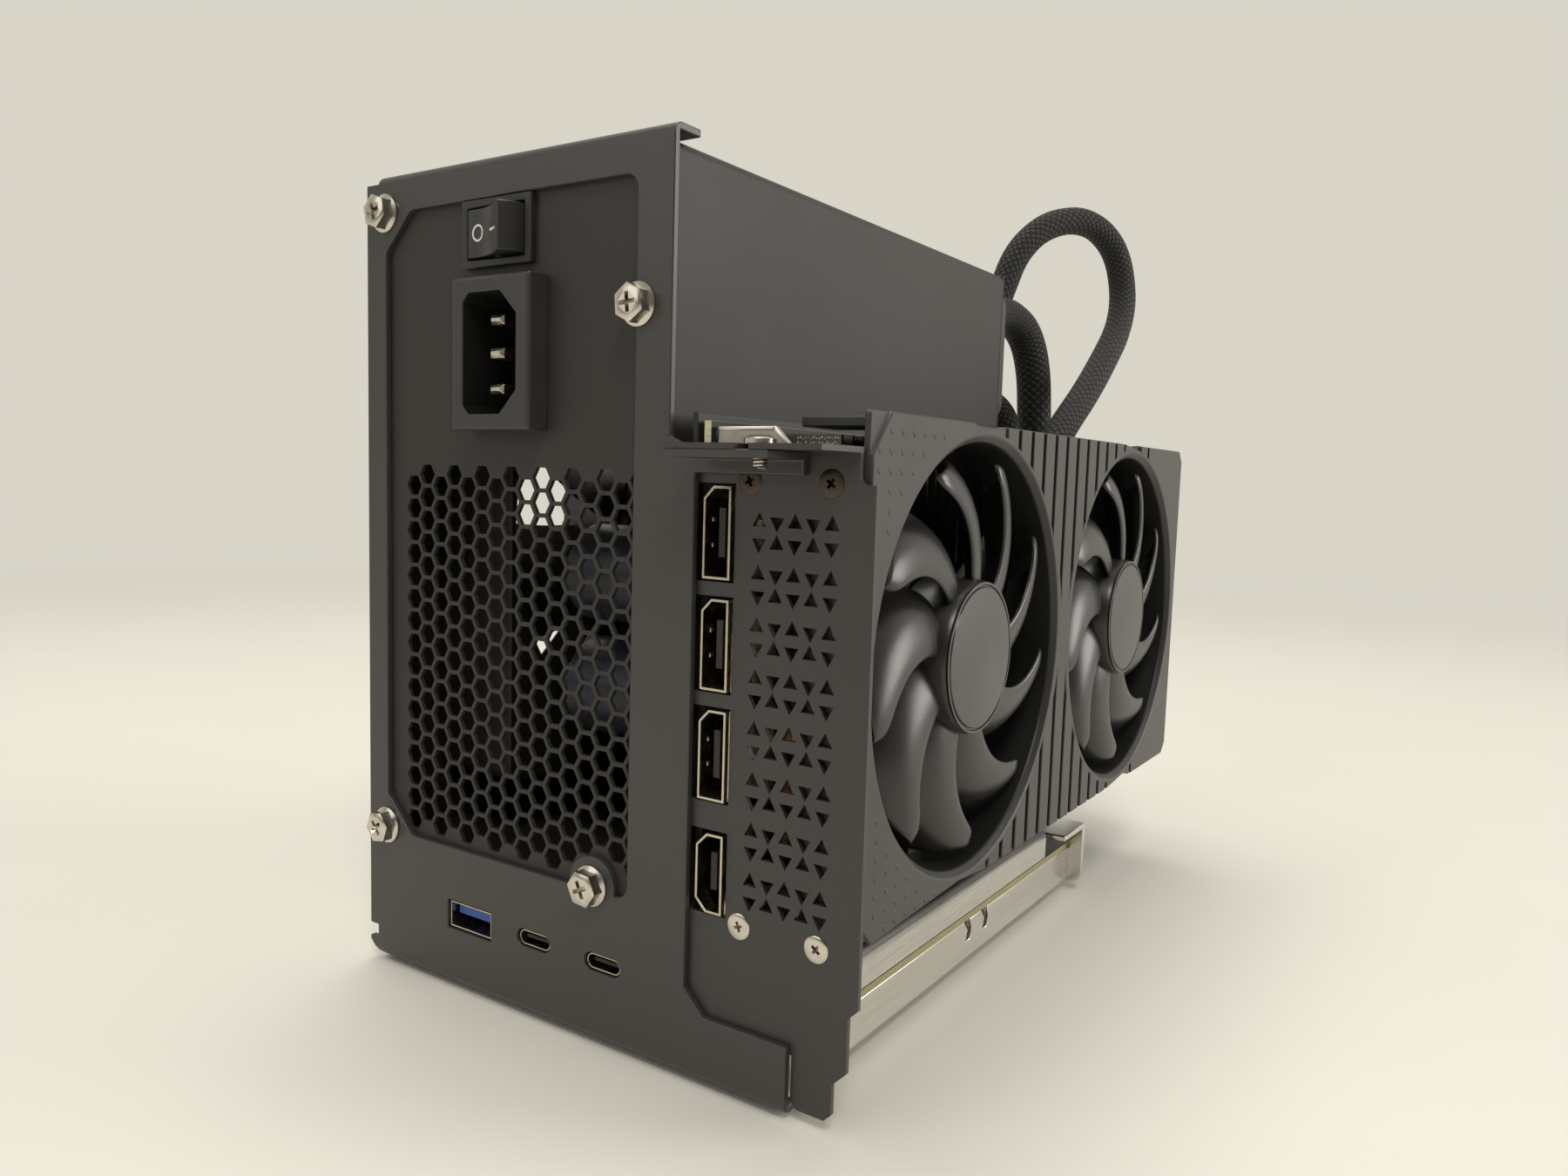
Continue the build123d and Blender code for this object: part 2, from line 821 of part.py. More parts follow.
host_inner_width = host_socket_width - 2 * (host_socket_wall + insert_clearance)
host_inner_height = host_socket_height - 2 * (host_socket_wall + insert_clearance)
with BuildPart() as host_socket_inserts:
    with BuildSketch(rear_plane(socket_near + host_socket_length - insert_block)):
        with Locations(*[(x, host_socket_z) for x in host_socket_spots]):
            SlotOverall(host_inner_width, host_inner_height)
    extrude(amount=-insert_block)
    with BuildSketch(rear_plane(socket_near + host_tongue_setback)):
        with Locations(*[(x, host_socket_z) for x in host_socket_spots]):
            Rectangle(host_tongue_width, host_tongue_thickness)
    extrude(amount=-(host_socket_length - insert_block - host_tongue_setback))
    with BuildSketch(rear_plane(socket_near + host_socket_length)):
        for x in host_socket_spots:
            half = host_socket_width / 2
            span((x - half, x + half), (board_top, host_socket_z + host_socket_height / 2))
    extrude(amount=-insert_block)
    with BuildSketch(rear_plane(base_near)):
        for x in host_socket_spots:
            half = host_socket_width / 2
            span((x - half, x + half), (board_top, board_top + host_socket_lift))
    extrude(amount=-(socket_near + host_socket_length + insert_block - base_near))
save(host_socket_inserts.part, "host_socket_inserts")

# Power headers on the dock board, open towards the far end
header_low = board_top
header_high = board_top + header_height
header_spans = [
    (main_header_x, main_header_x + main_header_width),
    (aux_header_x, aux_header_x + aux_header_width),
]
with BuildPart() as power_headers:
    with BuildSketch(rear_plane(header_far - header_depth)):
        for low, high in header_spans:
            span((low, high), (header_low, header_high))
    extrude(amount=-header_depth)
    with BuildSketch(rear_plane(header_far)):
        for low, high in header_spans:
            span(
                (low + header_wall, high - header_wall),
                (header_low + header_wall, header_high - header_wall),
            )
    extrude(amount=header_depth - header_floor, mode=Mode.SUBTRACT)
save(power_headers.part, "power_headers")

# Card slot: housing with a groove, a key and two ears that hold the latch pin
with BuildPart() as card_slot:
    with BuildSketch(level_plane(board_top)):
        span((slot_left, slot_right), (slot_near, slot_far))
    extrude(amount=slot_height)
    with BuildSketch(level_plane(slot_top)):
        groove_half = card_board_thickness / 2 + slot_groove_clearance
        span(
            (card_mid_x - groove_half, card_mid_x + groove_half),
            (card_edge_near - card_edge_clearance, card_edge_far + card_edge_clearance),
        )
    extrude(amount=-slot_groove_depth, mode=Mode.SUBTRACT)
    with BuildSketch(level_plane(board_top)):
        span((slot_left, slot_left + slot_ear_width), (slot_far, slot_far + slot_ear_length))
        span((slot_right - slot_ear_width, slot_right), (slot_far, slot_far + slot_ear_length))
    extrude(amount=slot_ear_height)
    with BuildSketch(side_plane(slot_left)):
        with Locations((latch_pivot_y, latch_pivot_z)):
            Circle(latch_pin_radius)
    extrude(amount=slot_width)
save(card_slot.part, "card_slot")

# Slot latch: lever on the slot's cross pin, with a nose in the notch of the card's tail
latch_half = slot_width / 2 - slot_ear_width - latch_side_clearance
latch_near = latch_pivot_y - latch_thickness / 2
latch_far = latch_near + latch_thickness
latch_top = card_board_bottom - latch_top_gap
latch_nose_z = latch_top - latch_nose_drop
with BuildPart() as slot_latch:
    with BuildSketch(side_plane(card_mid_x - latch_half)):
        span((latch_near, latch_far), (latch_pivot_z, latch_top))
        span((latch_far, latch_far + latch_thumb_reach), (latch_top - latch_thumb_height, latch_top))
        span(
            (latch_near - latch_nose_reach, latch_near),
            (latch_nose_z - latch_nose_height / 2, latch_nose_z + latch_nose_height / 2),
        )
        with Locations((latch_pivot_y, latch_pivot_z)):
            Circle(latch_hub_radius)
            Circle(latch_pin_radius + latch_clearance, mode=Mode.SUBTRACT)
    extrude(amount=2 * latch_half)
save(slot_latch.part, "slot_latch")

# Power supply rear panel: honeycomb, inlet and switch cut-outs, screw holes
hex_spots = []
for column in range(hex_columns):
    for row in range(hex_rows):
        hex_x = hex_first_x + column * hex_pitch_x
        hex_z = hex_first_z + row * hex_pitch_z + (column % 2) * hex_pitch_z / 2
        gaps = [math.dist((hex_x, hex_z), spot) for spot in psu_screw_spots]
        if min(gaps) > hex_screw_gap:
            hex_spots.append((hex_x, hex_z))
rocker_body_width = rocker_bezel_width - 2 * rocker_body_inset
rocker_body_height = rocker_bezel_height - 2 * rocker_body_inset
inlet_body_width = inlet_width - 2 * inlet_body_inset
inlet_body_height = inlet_height - 2 * inlet_body_inset
with BuildPart() as psu_rear_panel:
    with BuildSketch(rear_plane(psu_near)):
        span((0, psu_width), (0, psu_height))
        with Locations((rocker_bezel_x, rocker_bezel_z)):
            Rectangle(
                rocker_body_width + 2 * panel_cut_clearance,
                rocker_body_height + 2 * panel_cut_clearance,
                mode=Mode.SUBTRACT,
            )
        with Locations((inlet_x, inlet_z)):
            Rectangle(
                inlet_body_width + 2 * panel_cut_clearance,
                inlet_body_height + 2 * panel_cut_clearance,
                mode=Mode.SUBTRACT,
            )
        with Locations(*psu_screw_spots):
            Circle(psu_screw_radius + screw_clearance, mode=Mode.SUBTRACT)
        with Locations(*hex_spots):
            RegularPolygon(hex_flat / 2, 6, major_radius=False, mode=Mode.SUBTRACT)
    extrude(amount=-psu_sheet)
save(psu_rear_panel.part, "psu_rear_panel")

# Power supply cover: plain U of side, top and bottom
psu_board_x = psu_width - psu_sheet - psu_board_gap
standoff_spots = [
    (psu_inside_near + psu_board_margin + standoff_radius, psu_board_margin + standoff_radius),
    (psu_inside_near + psu_board_margin + standoff_radius, psu_height - psu_board_margin - standoff_radius),
    (psu_far - psu_board_margin - standoff_radius, psu_board_margin + standoff_radius),
    (psu_far - psu_board_margin - standoff_radius, psu_height - psu_board_margin - standoff_radius),
]
with BuildPart() as psu_cover:
    with BuildSketch(rear_plane(psu_inside_near)) as u_outer:
        span((psu_sheet, psu_width), (0, psu_height))
        fillet(u_outer.vertices().group_by(Axis.X)[-1], psu_bend)
    extrude(amount=-(psu_depth - 2 * psu_sheet))
    with BuildSketch(rear_plane(psu_inside_near)) as u_inner:
        span((psu_sheet, psu_width - psu_sheet), (psu_sheet, psu_height - psu_sheet))
        fillet(u_inner.vertices().group_by(Axis.X)[-1], psu_bend - psu_sheet)
    extrude(amount=-(psu_depth - 2 * psu_sheet), mode=Mode.SUBTRACT)
    with BuildSketch(side_plane(psu_width - psu_sheet)):
        with Locations(*standoff_spots):
            Circle(standoff_radius)
    extrude(amount=-psu_board_gap)
save(psu_cover.part, "psu_cover")

# Power supply case: fan wall and far panel, folded from one sheet
psu_fan_y = psu_mid_y
psu_fan_z = psu_height / 2
with BuildPart() as psu_case:
    with BuildSketch(level_plane(0)) as fold:
        span((0, psu_sheet), (psu_inside_near, psu_far))
        span((0, psu_width), (psu_far - psu_sheet, psu_far))
        far_left = fold.vertices().group_by(Axis.X)[0].sort_by(Axis.Y)[-1]
        fillet(far_left, psu_bend)
    extrude(amount=psu_height)
    with BuildSketch(side_plane(0)):
        with Locations((psu_fan_y, psu_fan_z)):
            Circle(fan_opening_radius)
    extrude(amount=psu_sheet, mode=Mode.SUBTRACT)
save(psu_case.part, "psu_case")

# Gland that the leads come out of, on the far panel
with BuildPart() as cable_gland:
    with BuildSketch(rear_plane(psu_far)):
        with Locations((gland_x, gland_z)):
            RectangleRounded(gland_width, gland_height, gland_round)
    extrude(amount=-gland_thickness)
save(cable_gland.part, "cable_gland")

# Fan guard: flat rings and four spokes over the fan opening
ring_step = (guard_tab_radius - guard_hub_radius) / guard_rings
with BuildPart() as psu_fan_guard:
    with BuildSketch(side_plane(guard_left)):
        with Locations((psu_fan_y, psu_fan_z)):
            for i in range(guard_rings):
                ring_radius = guard_hub_radius + i * ring_step
                Circle(ring_radius + guard_wire)
                Circle(ring_radius, mode=Mode.SUBTRACT)
        with Locations((psu_fan_y, psu_fan_z)):
            with PolarLocations((guard_hub_radius + guard_tab_radius) / 2, 4, start_angle=45):
                Rectangle(guard_tab_radius - guard_hub_radius, guard_wire)
    extrude(amount=guard_wire)
save(psu_fan_guard.part, "psu_fan_guard")


def blade_stations(middle, inner, outer, pitch, chord, sweep):
    """Section planes and chords of one blade from its root to its tip, about the axis through middle."""
    stations = []
    steps = len(pitch) - 1
    for i in range(steps + 1):
        radius = inner + (outer - inner) * i / steps
        turn = math.radians(sweep[i])
        radial = Vector(0, math.cos(turn), math.sin(turn))
        tangent = Vector(0, -math.sin(turn), math.cos(turn))
        lean = math.radians(pitch[i])
        along = tangent * math.cos(lean) + Vector(math.sin(lean), 0, 0)
        spot = shift + Vector(*middle) + radial * radius
        stations.append((Plane(origin=spot, x_dir=along, z_dir=radial), chord[i]))
    return stations


def swept_blade(stations):
    """One fan blade, lofted through its stations."""
    with BuildPart() as blade:
        for plane, chord in stations:
            with BuildSketch(plane):
                Rectangle(chord, blade_thickness)
        loft()
    return blade.part


# Power supply fan: frame with struts and a bearing post, and its rotor
psu_fan_back = psu_sheet + psu_fan_depth
psu_fan_bore = psu_fan_size / 2 - psu_fan_wall
psu_fan_seat = psu_fan_back - carrier_plate
with BuildPart() as psu_fan_frame:
    with BuildSketch(side_plane(psu_sheet)):
        with Locations((psu_fan_y, psu_fan_z)):
            RectangleRounded(psu_fan_size, psu_fan_size, psu_fan_wall * 2)
            Circle(psu_fan_bore, mode=Mode.SUBTRACT)
    extrude(amount=psu_fan_depth)
    with BuildSketch(side_plane(psu_fan_seat)):
        with Locations((psu_fan_y, psu_fan_z)):
            Circle(psu_fan_hub_radius)
            with PolarLocations(psu_fan_bore / 2, 4, start_angle=45):
                Rectangle(psu_fan_bore + psu_fan_wall, carrier_arm_width)
    extrude(amount=carrier_plate)
    with BuildSketch(side_plane(psu_fan_seat)):
        with Locations((psu_fan_y, psu_fan_z)):
            Circle(bearing_radius)
    extrude(amount=-bearing_height)
    with BuildSketch(side_plane(psu_fan_seat - bearing_height)):
        with Locations((psu_fan_y, psu_fan_z)):
            Circle(shaft_radius + shaft_clearance)
    extrude(amount=bearing_height, mode=Mode.SUBTRACT)
save(psu_fan_frame.part, "psu_fan_frame")

psu_hub_front = psu_sheet + hub_wall
psu_hub_back = psu_fan_seat - hub_lift
psu_blade_mid = (psu_hub_front + psu_hub_back) / 2
psu_spin_axis = Axis(shift + Vector(0, psu_fan_y, psu_fan_z), (1, 0, 0))
psu_blade = swept_blade(
    blade_stations(
        (psu_blade_mid, psu_fan_y, psu_fan_z),
        psu_fan_hub_radius - blade_thickness,
        psu_fan_bore,
        psu_blade_pitch,
        psu_blade_chord,
        psu_blade_sweep,
    )
)
with BuildPart() as psu_fan_rotor:
    for i in range(psu_fan_blades):
        add(psu_blade.rotate(psu_spin_axis, i * 360 / psu_fan_blades))
    with BuildSketch(side_plane(psu_sheet)):
        with Locations((psu_fan_y, psu_fan_z)):
            Circle(psu_fan_bore - psu_fan_tip_gap)
    extrude(amount=psu_fan_depth, mode=Mode.INTERSECT)
    with BuildSketch(side_plane(psu_hub_front)):
        with Locations((psu_fan_y, psu_fan_z)):
            Circle(psu_fan_hub_radius)
    extrude(amount=psu_hub_back - psu_hub_front)
    with BuildSketch(side_plane(psu_hub_back)):
        with Locations((psu_fan_y, psu_fan_z)):
            Circle(psu_fan_hub_radius - hub_wall)
    extrude(amount=-(psu_hub_back - psu_hub_front - hub_wall), mode=Mode.SUBTRACT)
    with BuildSketch(side_plane(psu_hub_front + hub_wall)):
        with Locations((psu_fan_y, psu_fan_z)):
            Circle(shaft_radius)
    extrude(amount=psu_fan_seat - shaft_end_gap - psu_hub_front - hub_wall)
save(psu_fan_rotor.part, "psu_fan_rotor")

# Rocker switch: bezel with its box and two pins, and the rocker that turns on them
rocker_front = psu_near - rocker_bezel_proud
rocker_pivot_y = rocker_front + rocker_pivot_depth
rocker_swing_radius = math.hypot(rocker_half_width, rocker_rise)
rocker_mouth_width = 2 * (rocker_swing_radius + rocker_clearance)
rocker_mouth_height = rocker_height + 2 * rocker_clearance
with BuildPart() as switch_bezel:
    with BuildSketch(rear_plane(psu_near)):
        with Locations((rocker_bezel_x, rocker_bezel_z)):
            Rectangle(rocker_bezel_width, rocker_bezel_height)
    extrude(amount=rocker_bezel_proud)
    with BuildSketch(rear_plane(psu_near)):
        with Locations((rocker_bezel_x, rocker_bezel_z)):
            Rectangle(rocker_body_width, rocker_body_height)
    extrude(amount=-rocker_body_depth)
    with BuildSketch(rear_plane(rocker_front)):
        with Locations((rocker_bezel_x, rocker_bezel_z)):
            Rectangle(rocker_mouth_width, rocker_mouth_height)
    extrude(amount=-(rocker_bezel_proud + rocker_body_depth - rocker_floor), mode=Mode.SUBTRACT)
    for side in (-1, 1):
        with BuildSketch(level_plane(rocker_bezel_z + side * rocker_mouth_height / 2)):
            with Locations((rocker_bezel_x, rocker_pivot_y)):
                Circle(rocker_pin_radius)
        extrude(amount=-side * rocker_pin_length)
save(switch_bezel.part, "switch_bezel")

# The rocker's section in plan about its pin: dished front, round ends, tapered back.
# It is drawn level and then turned to its off side.
rocker_end_angle = math.degrees(math.atan2(rocker_rise, rocker_half_width))
rocker_heel = Vector(rocker_swing_radius, 0).rotate(Axis.Z, rocker_end_angle)
rocker_middle = shift + Vector(rocker_bezel_x, rocker_pivot_y, rocker_bezel_z)
rocker_plane = Plane(origin=rocker_middle, x_dir=(1, 0, 0), z_dir=(0, 0, 1)).rotated((0, 0, -rocker_tilt))
with BuildPart() as switch_rocker:
    with BuildSketch(rocker_plane):
        with BuildLine():
            ThreePointArc(
                (-rocker_half_width, -rocker_rise),
                (0, rocker_dish - rocker_rise),
                (rocker_half_width, -rocker_rise),
            )
            ThreePointArc((rocker_half_width, -rocker_rise), (rocker_swing_radius, 0), rocker_heel)
            Polyline(
                rocker_heel,
                (rocker_half_width / 2, rocker_depth),
                (-rocker_half_width / 2, rocker_depth),
                (-rocker_heel.X, rocker_heel.Y),
            )
            ThreePointArc(
                (-rocker_heel.X, rocker_heel.Y),
                (-rocker_swing_radius, 0),
                (-rocker_half_width, -rocker_rise),
            )
        make_face()
        Circle(rocker_pin_radius + rocker_pin_clearance, mode=Mode.SUBTRACT)
    extrude(amount=rocker_height / 2, both=True)
save(switch_rocker.part, "switch_rocker")

# Mains inlet: flanged block with a six-sided mouth, and its three blades
inlet_front = psu_near - inlet_proud
inlet_back = psu_near + inlet_body_depth
inlet_floor = inlet_front + inlet_mouth_depth
mouth_x = (inlet_x - inlet_mouth_width / 2, inlet_x + inlet_mouth_width / 2)
mouth_z = (inlet_z - inlet_mouth_height / 2, inlet_z + inlet_mouth_height / 2)
mains_blade_spots = [
    (mouth_x[0] + mains_blade_inset, inlet_z - mains_blade_spacing, inlet_front + mains_blade_setback),
    (
        mouth_x[0] + mains_blade_inset + mains_blade_offset,
        inlet_z,
        inlet_front + mains_blade_setback - mains_blade_lead,
    ),
    (mouth_x[0] + mains_blade_inset, inlet_z + mains_blade_spacing, inlet_front + mains_blade_setback),
]
with BuildPart() as mains_inlet:
    with BuildSketch(rear_plane(psu_near)):
        with Locations((inlet_x, inlet_z)):
            Rectangle(inlet_width, inlet_height)
    extrude(amount=inlet_proud)
    chamfer(mains_inlet.faces().sort_by(Axis.Y)[0].edges(), inlet_edge)
    with BuildSketch(rear_plane(psu_near)):
        with Locations((inlet_x, inlet_z)):
            Rectangle(inlet_body_width, inlet_body_height)
    extrude(amount=-inlet_body_depth)
    with BuildSketch(rear_plane(inlet_front)) as mouth:
        span(mouth_x, mouth_z)
        chamfer(mouth.vertices().group_by(Axis.X)[-1], inlet_mouth_cut)
        chamfer(mouth.vertices().group_by(Axis.X)[0], inlet_mouth_corner)
    extrude(amount=-inlet_mouth_depth, mode=Mode.SUBTRACT)
    with BuildSketch(rear_plane(inlet_floor)):
        with Locations(*[(x, z) for x, z, _ in mains_blade_spots]):
            Rectangle(
                mains_blade_width + 2 * insert_clearance,
                mains_blade_thickness + 2 * insert_clearance,
            )
    extrude(amount=-(inlet_back - inlet_floor), mode=Mode.SUBTRACT)
save(mains_inlet.part, "mains_inlet")

with BuildPart() as mains_blades:
    for x, z, tip in mains_blade_spots:
        with BuildSketch(rear_plane(tip)):
            with Locations((x, z)):
                Rectangle(mains_blade_width, mains_blade_thickness)
        extrude(amount=-(inlet_back + mains_blade_tail - tip))
    for x, z, tip in mains_blade_spots:
        tip_face = mains_blades.faces().filter_by(Axis.Y).sort_by_distance(shift + Vector(x, tip, z))[0]
        chamfer(tip_face.edges(), mains_blade_taper)
save(mains_blades.part, "mains_blades")

# Power supply board and the parts that stand on it
psu_board_face = psu_board_x - board_thickness
psu_board_low = psu_board_margin
psu_board_near = psu_inside_near + psu_board_margin
psu_board_far = psu_far - psu_sheet - psu_board_margin
with BuildPart() as psu_board:
    with BuildSketch(side_plane(psu_board_x)):
        span((psu_board_near, psu_board_far), (psu_board_low, psu_height - psu_board_low))
    extrude(amount=-board_thickness)
save(psu_board.part, "psu_board")

heatsink_near = psu_board_near + heatsink_setback
with BuildPart() as psu_heatsinks:
    with BuildSketch(rear_plane(heatsink_near)):
        for z in heatsink_spots:
            root = psu_board_face - heatsink_height
            span((root, psu_board_face), (z, z + heatsink_thickness))
            for i in range(heatsink_fins):
                fin_x = root + i * heatsink_height / heatsink_fins
                span(
                    (fin_x, fin_x + heatsink_thickness / 2),
                    (z + heatsink_thickness, z + heatsink_thickness + heatsink_fin_height),
                )
    extrude(amount=-heatsink_length)
save(psu_heatsinks.part, "psu_heatsinks")

with BuildPart() as psu_transformer:
    with BuildSketch(side_plane(psu_board_face)):
        with Locations((transformer_y, transformer_z)):
            Rectangle(transformer_size, transformer_core)
    extrude(amount=-transformer_size)
    with BuildSketch(side_plane(psu_board_face - transformer_core / 4)):
        with Locations((transformer_y, transformer_z)):
            RectangleRounded(transformer_core, transformer_size, transformer_core / 4)
    extrude(amount=-(transformer_size - transformer_core / 2))
save(psu_transformer.part, "psu_transformer")

with BuildPart() as psu_capacitors:
    with BuildSketch(side_plane(psu_board_face)):
        with Locations(*capacitor_spots):
            Circle(capacitor_radius)
    extrude(amount=-capacitor_height)
save(psu_capacitors.part, "psu_capacitors")

with BuildPart() as psu_choke:
    with BuildSketch(side_plane(psu_board_face)):
        with Locations((choke_y, choke_z)):
            Circle(choke_radius)
            Circle(choke_hole, mode=Mode.SUBTRACT)
    extrude(amount=-choke_height)
    fillet(psu_choke.edges().filter_by(GeomType.CIRCLE).group_by(Axis.X)[0], choke_round)
save(psu_choke.part, "psu_choke")

# Card bracket: slotted strip with port holes, a field of triangle vents and a folded flange
display_left = display_x - display_width / 2
display_right = display_x + display_width / 2
display_near = plate_sheet - display_proud
bracket_screw_spots = [
    (bracket_screw_left, bracket_screw_low),
    (bracket_screw_right, bracket_screw_low),
    (bracket_screw_left, bracket_screw_high),
    (bracket_screw_right, bracket_screw_high),
]
notch_left = bracket_right - bracket_notch_width
with BuildPart() as card_bracket:
    with BuildSketch(rear_plane(plate_sheet)) as strip:
        with BuildLine():
            Polyline(
                (bracket_left, bracket_top),
                (notch_left, bracket_top),
                (notch_left, bracket_notch_z),
                (bracket_right, bracket_notch_z),
                (bracket_right, bracket_side_step_z),
                (bracket_right - bracket_side_step, bracket_side_step_z - bracket_side_step),
                (bracket_right - bracket_side_step, bracket_hook_z),
                (tongue_right, bracket_hook_z - bracket_hook),
                (tongue_right, tongue_bottom + tongue_corner),
                (tongue_right - tongue_corner, tongue_bottom),
                (tongue_left + tongue_corner, tongue_bottom),
                (tongue_left, tongue_bottom + tongue_corner),
                (tongue_left, bracket_hook_z),
                (bracket_left + bracket_corner, bracket_hook_z),
                (bracket_left, bracket_hook_z + bracket_corner),
                close=True,
            )
        make_face()
        notch_corner = strip.vertices().sort_by_distance((notch_left, bracket_notch_z, 0))[0]
        fillet(notch_corner, bracket_notch_round)
        for z in display_spots + [video_z]:
            half = (display_height if z != video_z else video_height) / 2 + display_hole_gap
            cut_span(
                (display_left - display_hole_side, display_right + display_hole_gap),
                (z - half, z + half),
            )
        for row in range(2 * vent_pairs):
            row_z = vent_top_z - (row // 2) * vent_pair_pitch - (row % 2) * vent_row_step
            for column in range(vent_columns):
                points_up = (row + column) % 2 == 0
                with Locations((vent_first_x + column * vent_pitch_x, row_z)):
                    RegularPolygon(vent_radius, 3, rotation=90 if points_up else -90, mode=Mode.SUBTRACT)
        with Locations(*bracket_screw_spots):
            Circle(bracket_screw_radius + screw_clearance, mode=Mode.SUBTRACT)
    extrude(amount=-bracket_sheet)
    with BuildSketch(rear_plane(plate_sheet)):
        with Locations(*bracket_screw_spots):
            Circle(bracket_screw_head_radius + insert_clearance)
    extrude(amount=-bracket_screw_head, mode=Mode.SUBTRACT)
    with BuildSketch(level_plane(ledge_top)):
        span(
            (neck_x + bracket_flange_gap, notch_left),
            (-ledge_reach, bracket_back),
        )
        slot_half = retaining_screw_radius + screw_clearance
        cut_span(
            (retaining_screw_x - slot_half, retaining_screw_x + slot_half),
            (-ledge_reach, -retaining_screw_reach),
        )
        with Locations((retaining_screw_x, -retaining_screw_reach)):
            Circle(slot_half, mode=Mode.SUBTRACT)
    extrude(amount=bracket_sheet)
save(card_bracket.part, "card_bracket")

with BuildPart() as bracket_screws:
    with BuildSketch(rear_plane(plate_sheet)):
        with Locations(*bracket_screw_spots):
            Circle(bracket_screw_head_radius)
    extrude(amount=-bracket_screw_head)
    with BuildSketch(rear_plane(plate_sheet)):
        with Locations(*bracket_screw_spots):
            Circle(bracket_screw_radius)
    extrude(amount=-bracket_screw_length)
save(bracket_screws.part, "bracket_screws")

with BuildPart() as retaining_screw:
    with BuildSketch(level_plane(bracket_top)):
        with Locations((retaining_screw_x, -retaining_screw_reach)):
            Circle(retaining_screw_head_radius)
    extrude(amount=retaining_screw_head)
    fillet(retaining_screw.edges().sort_by(Axis.Z)[-1], retaining_screw_round)
    with BuildSketch(level_plane(bracket_top)):
        with Locations((retaining_screw_x, -retaining_screw_reach)):
            Circle(retaining_screw_radius)
    extrude(amount=-retaining_screw_length)
save(retaining_screw.part, "retaining_screw")


def port_face(z, height, cuts, inset, mode=Mode.ADD):
    """Socket outline with cut left corners, cuts = (low, high), drawn inset from its outside."""
    half_width = display_width / 2 - inset
    half_height = height / 2 - inset
    slope = inset * (2 - math.sqrt(2))
    low = max(cuts[0] - slope, 0)
    high = max(cuts[1] - slope, 0)
    corners = [(half_width, -half_height), (half_width, half_height)]
    corners += [(high - half_width, half_height), (-half_width, half_height - high)] if high else []
    corners += [] if high else [(-half_width, half_height)]
    corners += [(-half_width, low - half_height), (low - half_width, -half_height)] if low else []
    corners += [] if low else [(-half_width, -half_height)]
    with Locations((display_x, z)):
        Polygon(*corners, align=None, mode=mode)


def socket_shell(spots, height, cuts):
    """Open folded shells of card sockets at the heights in spots."""
    with BuildPart() as shell:
        with BuildSketch(rear_plane(display_near)):
            for z in spots:
                port_face(z, height, cuts, 0)
                port_face(z, height, cuts, display_wall, Mode.SUBTRACT)
        extrude(amount=-display_length)
    return shell.part


def socket_insert(spots, height, cuts):
    """Plastic cores of card sockets: tongue, rear block, rear cap and a foot on the card board."""
    block_near = display_near + display_length - insert_block
    cap_near = display_near + display_length
    tongue_near = display_near + display_tongue_setback
    with BuildPart() as insert:
        with BuildSketch(rear_plane(block_near)):
            for z in spots:
                port_face(z, height, cuts, display_wall + insert_clearance)
        extrude(amount=-insert_block)
        with BuildSketch(rear_plane(tongue_near)):
            for z in spots:
                with Locations((display_x, z)):
                    Rectangle(display_tongue, height - 2 * insert_block)
        extrude(amount=-(block_near - tongue_near))
        with BuildSketch(rear_plane(cap_near)):
            for z in spots:
                span((card_face_x, display_right), (z - height / 2, z + height / 2))
        extrude(amount=-display_cap)
        with BuildSketch(rear_plane(card_board_near)):
            for z in spots:
                span((card_face_x, display_left), (z - height / 2 + cuts[0], z + height / 2 - cuts[1]))
        extrude(amount=-(cap_near + display_cap - card_board_near))
    return insert.part


save(socket_shell(display_spots, display_height, (0, display_cut)), "display_shells")
save(socket_insert(display_spots, display_height, (0, display_cut)), "display_inserts")
save(socket_shell([video_z], video_height, (video_cut, video_cut)), "video_shell")
save(socket_insert([video_z], video_height, (video_cut, video_cut)), "video_insert")

# Card board: contact edge in the slot and a notched tail behind it for the latch
card_board_far = card_board_near + card_board_length
card_edge_bottom = slot_top - slot_groove_depth + card_edge_clearance
tail_notch = latch_nose_height / 2 + tail_latch_gap
tail_far = latch_near - tail_latch_gap
with BuildPart() as card_board:
    with BuildSketch(side_plane(card_board_x)):
        span((card_board_near, card_board_far), (card_board_bottom, card_board_top))
        span((card_edge_near, card_edge_far), (card_edge_bottom, card_board_bottom))
        span((slot_far + card_tail_gap, tail_far), (latch_nose_z - tail_notch - tail_lip, card_board_bottom))
        cut_span(
            (tail_far - latch_nose_reach, tail_far),
            (latch_nose_z - tail_notch, latch_nose_z + tail_notch),
        )
    extrude(amount=card_board_thickness)
save(card_board.part, "card_board")

# Backplate on bosses behind the card board, with flow slots past the board's end
backplate_far = shroud_far - shroud_near_gap
backplate_boss_spots = [
    (y, z)
    for y in (card_board_near + backplate_boss_inset, card_board_far - backplate_boss_inset)
    for z in (backplate_bottom + backplate_boss_inset, card_board_top - backplate_boss_inset)
]
with BuildPart() as card_backplate:
    with BuildSketch(side_plane(backplate_back)):
        span((backplate_near, backplate_far), (backplate_bottom, backplate_top))
        slot_mid = (card_board_far + backplate_far) / 2
        with Locations((slot_mid, (backplate_bottom + backplate_top) / 2)):
            with GridLocations(0, backplate_slot_pitch, 1, backplate_slots):
                SlotOverall(backplate_slot_length, backplate_slot_width, mode=Mode.SUBTRACT)
    extrude(amount=backplate_sheet)
    with BuildSketch(side_plane(backplate_front)):
        with Locations(*backplate_boss_spots):
            Circle(backplate_boss_radius)
    extrude(amount=backplate_gap)
save(card_backplate.part, "card_backplate")

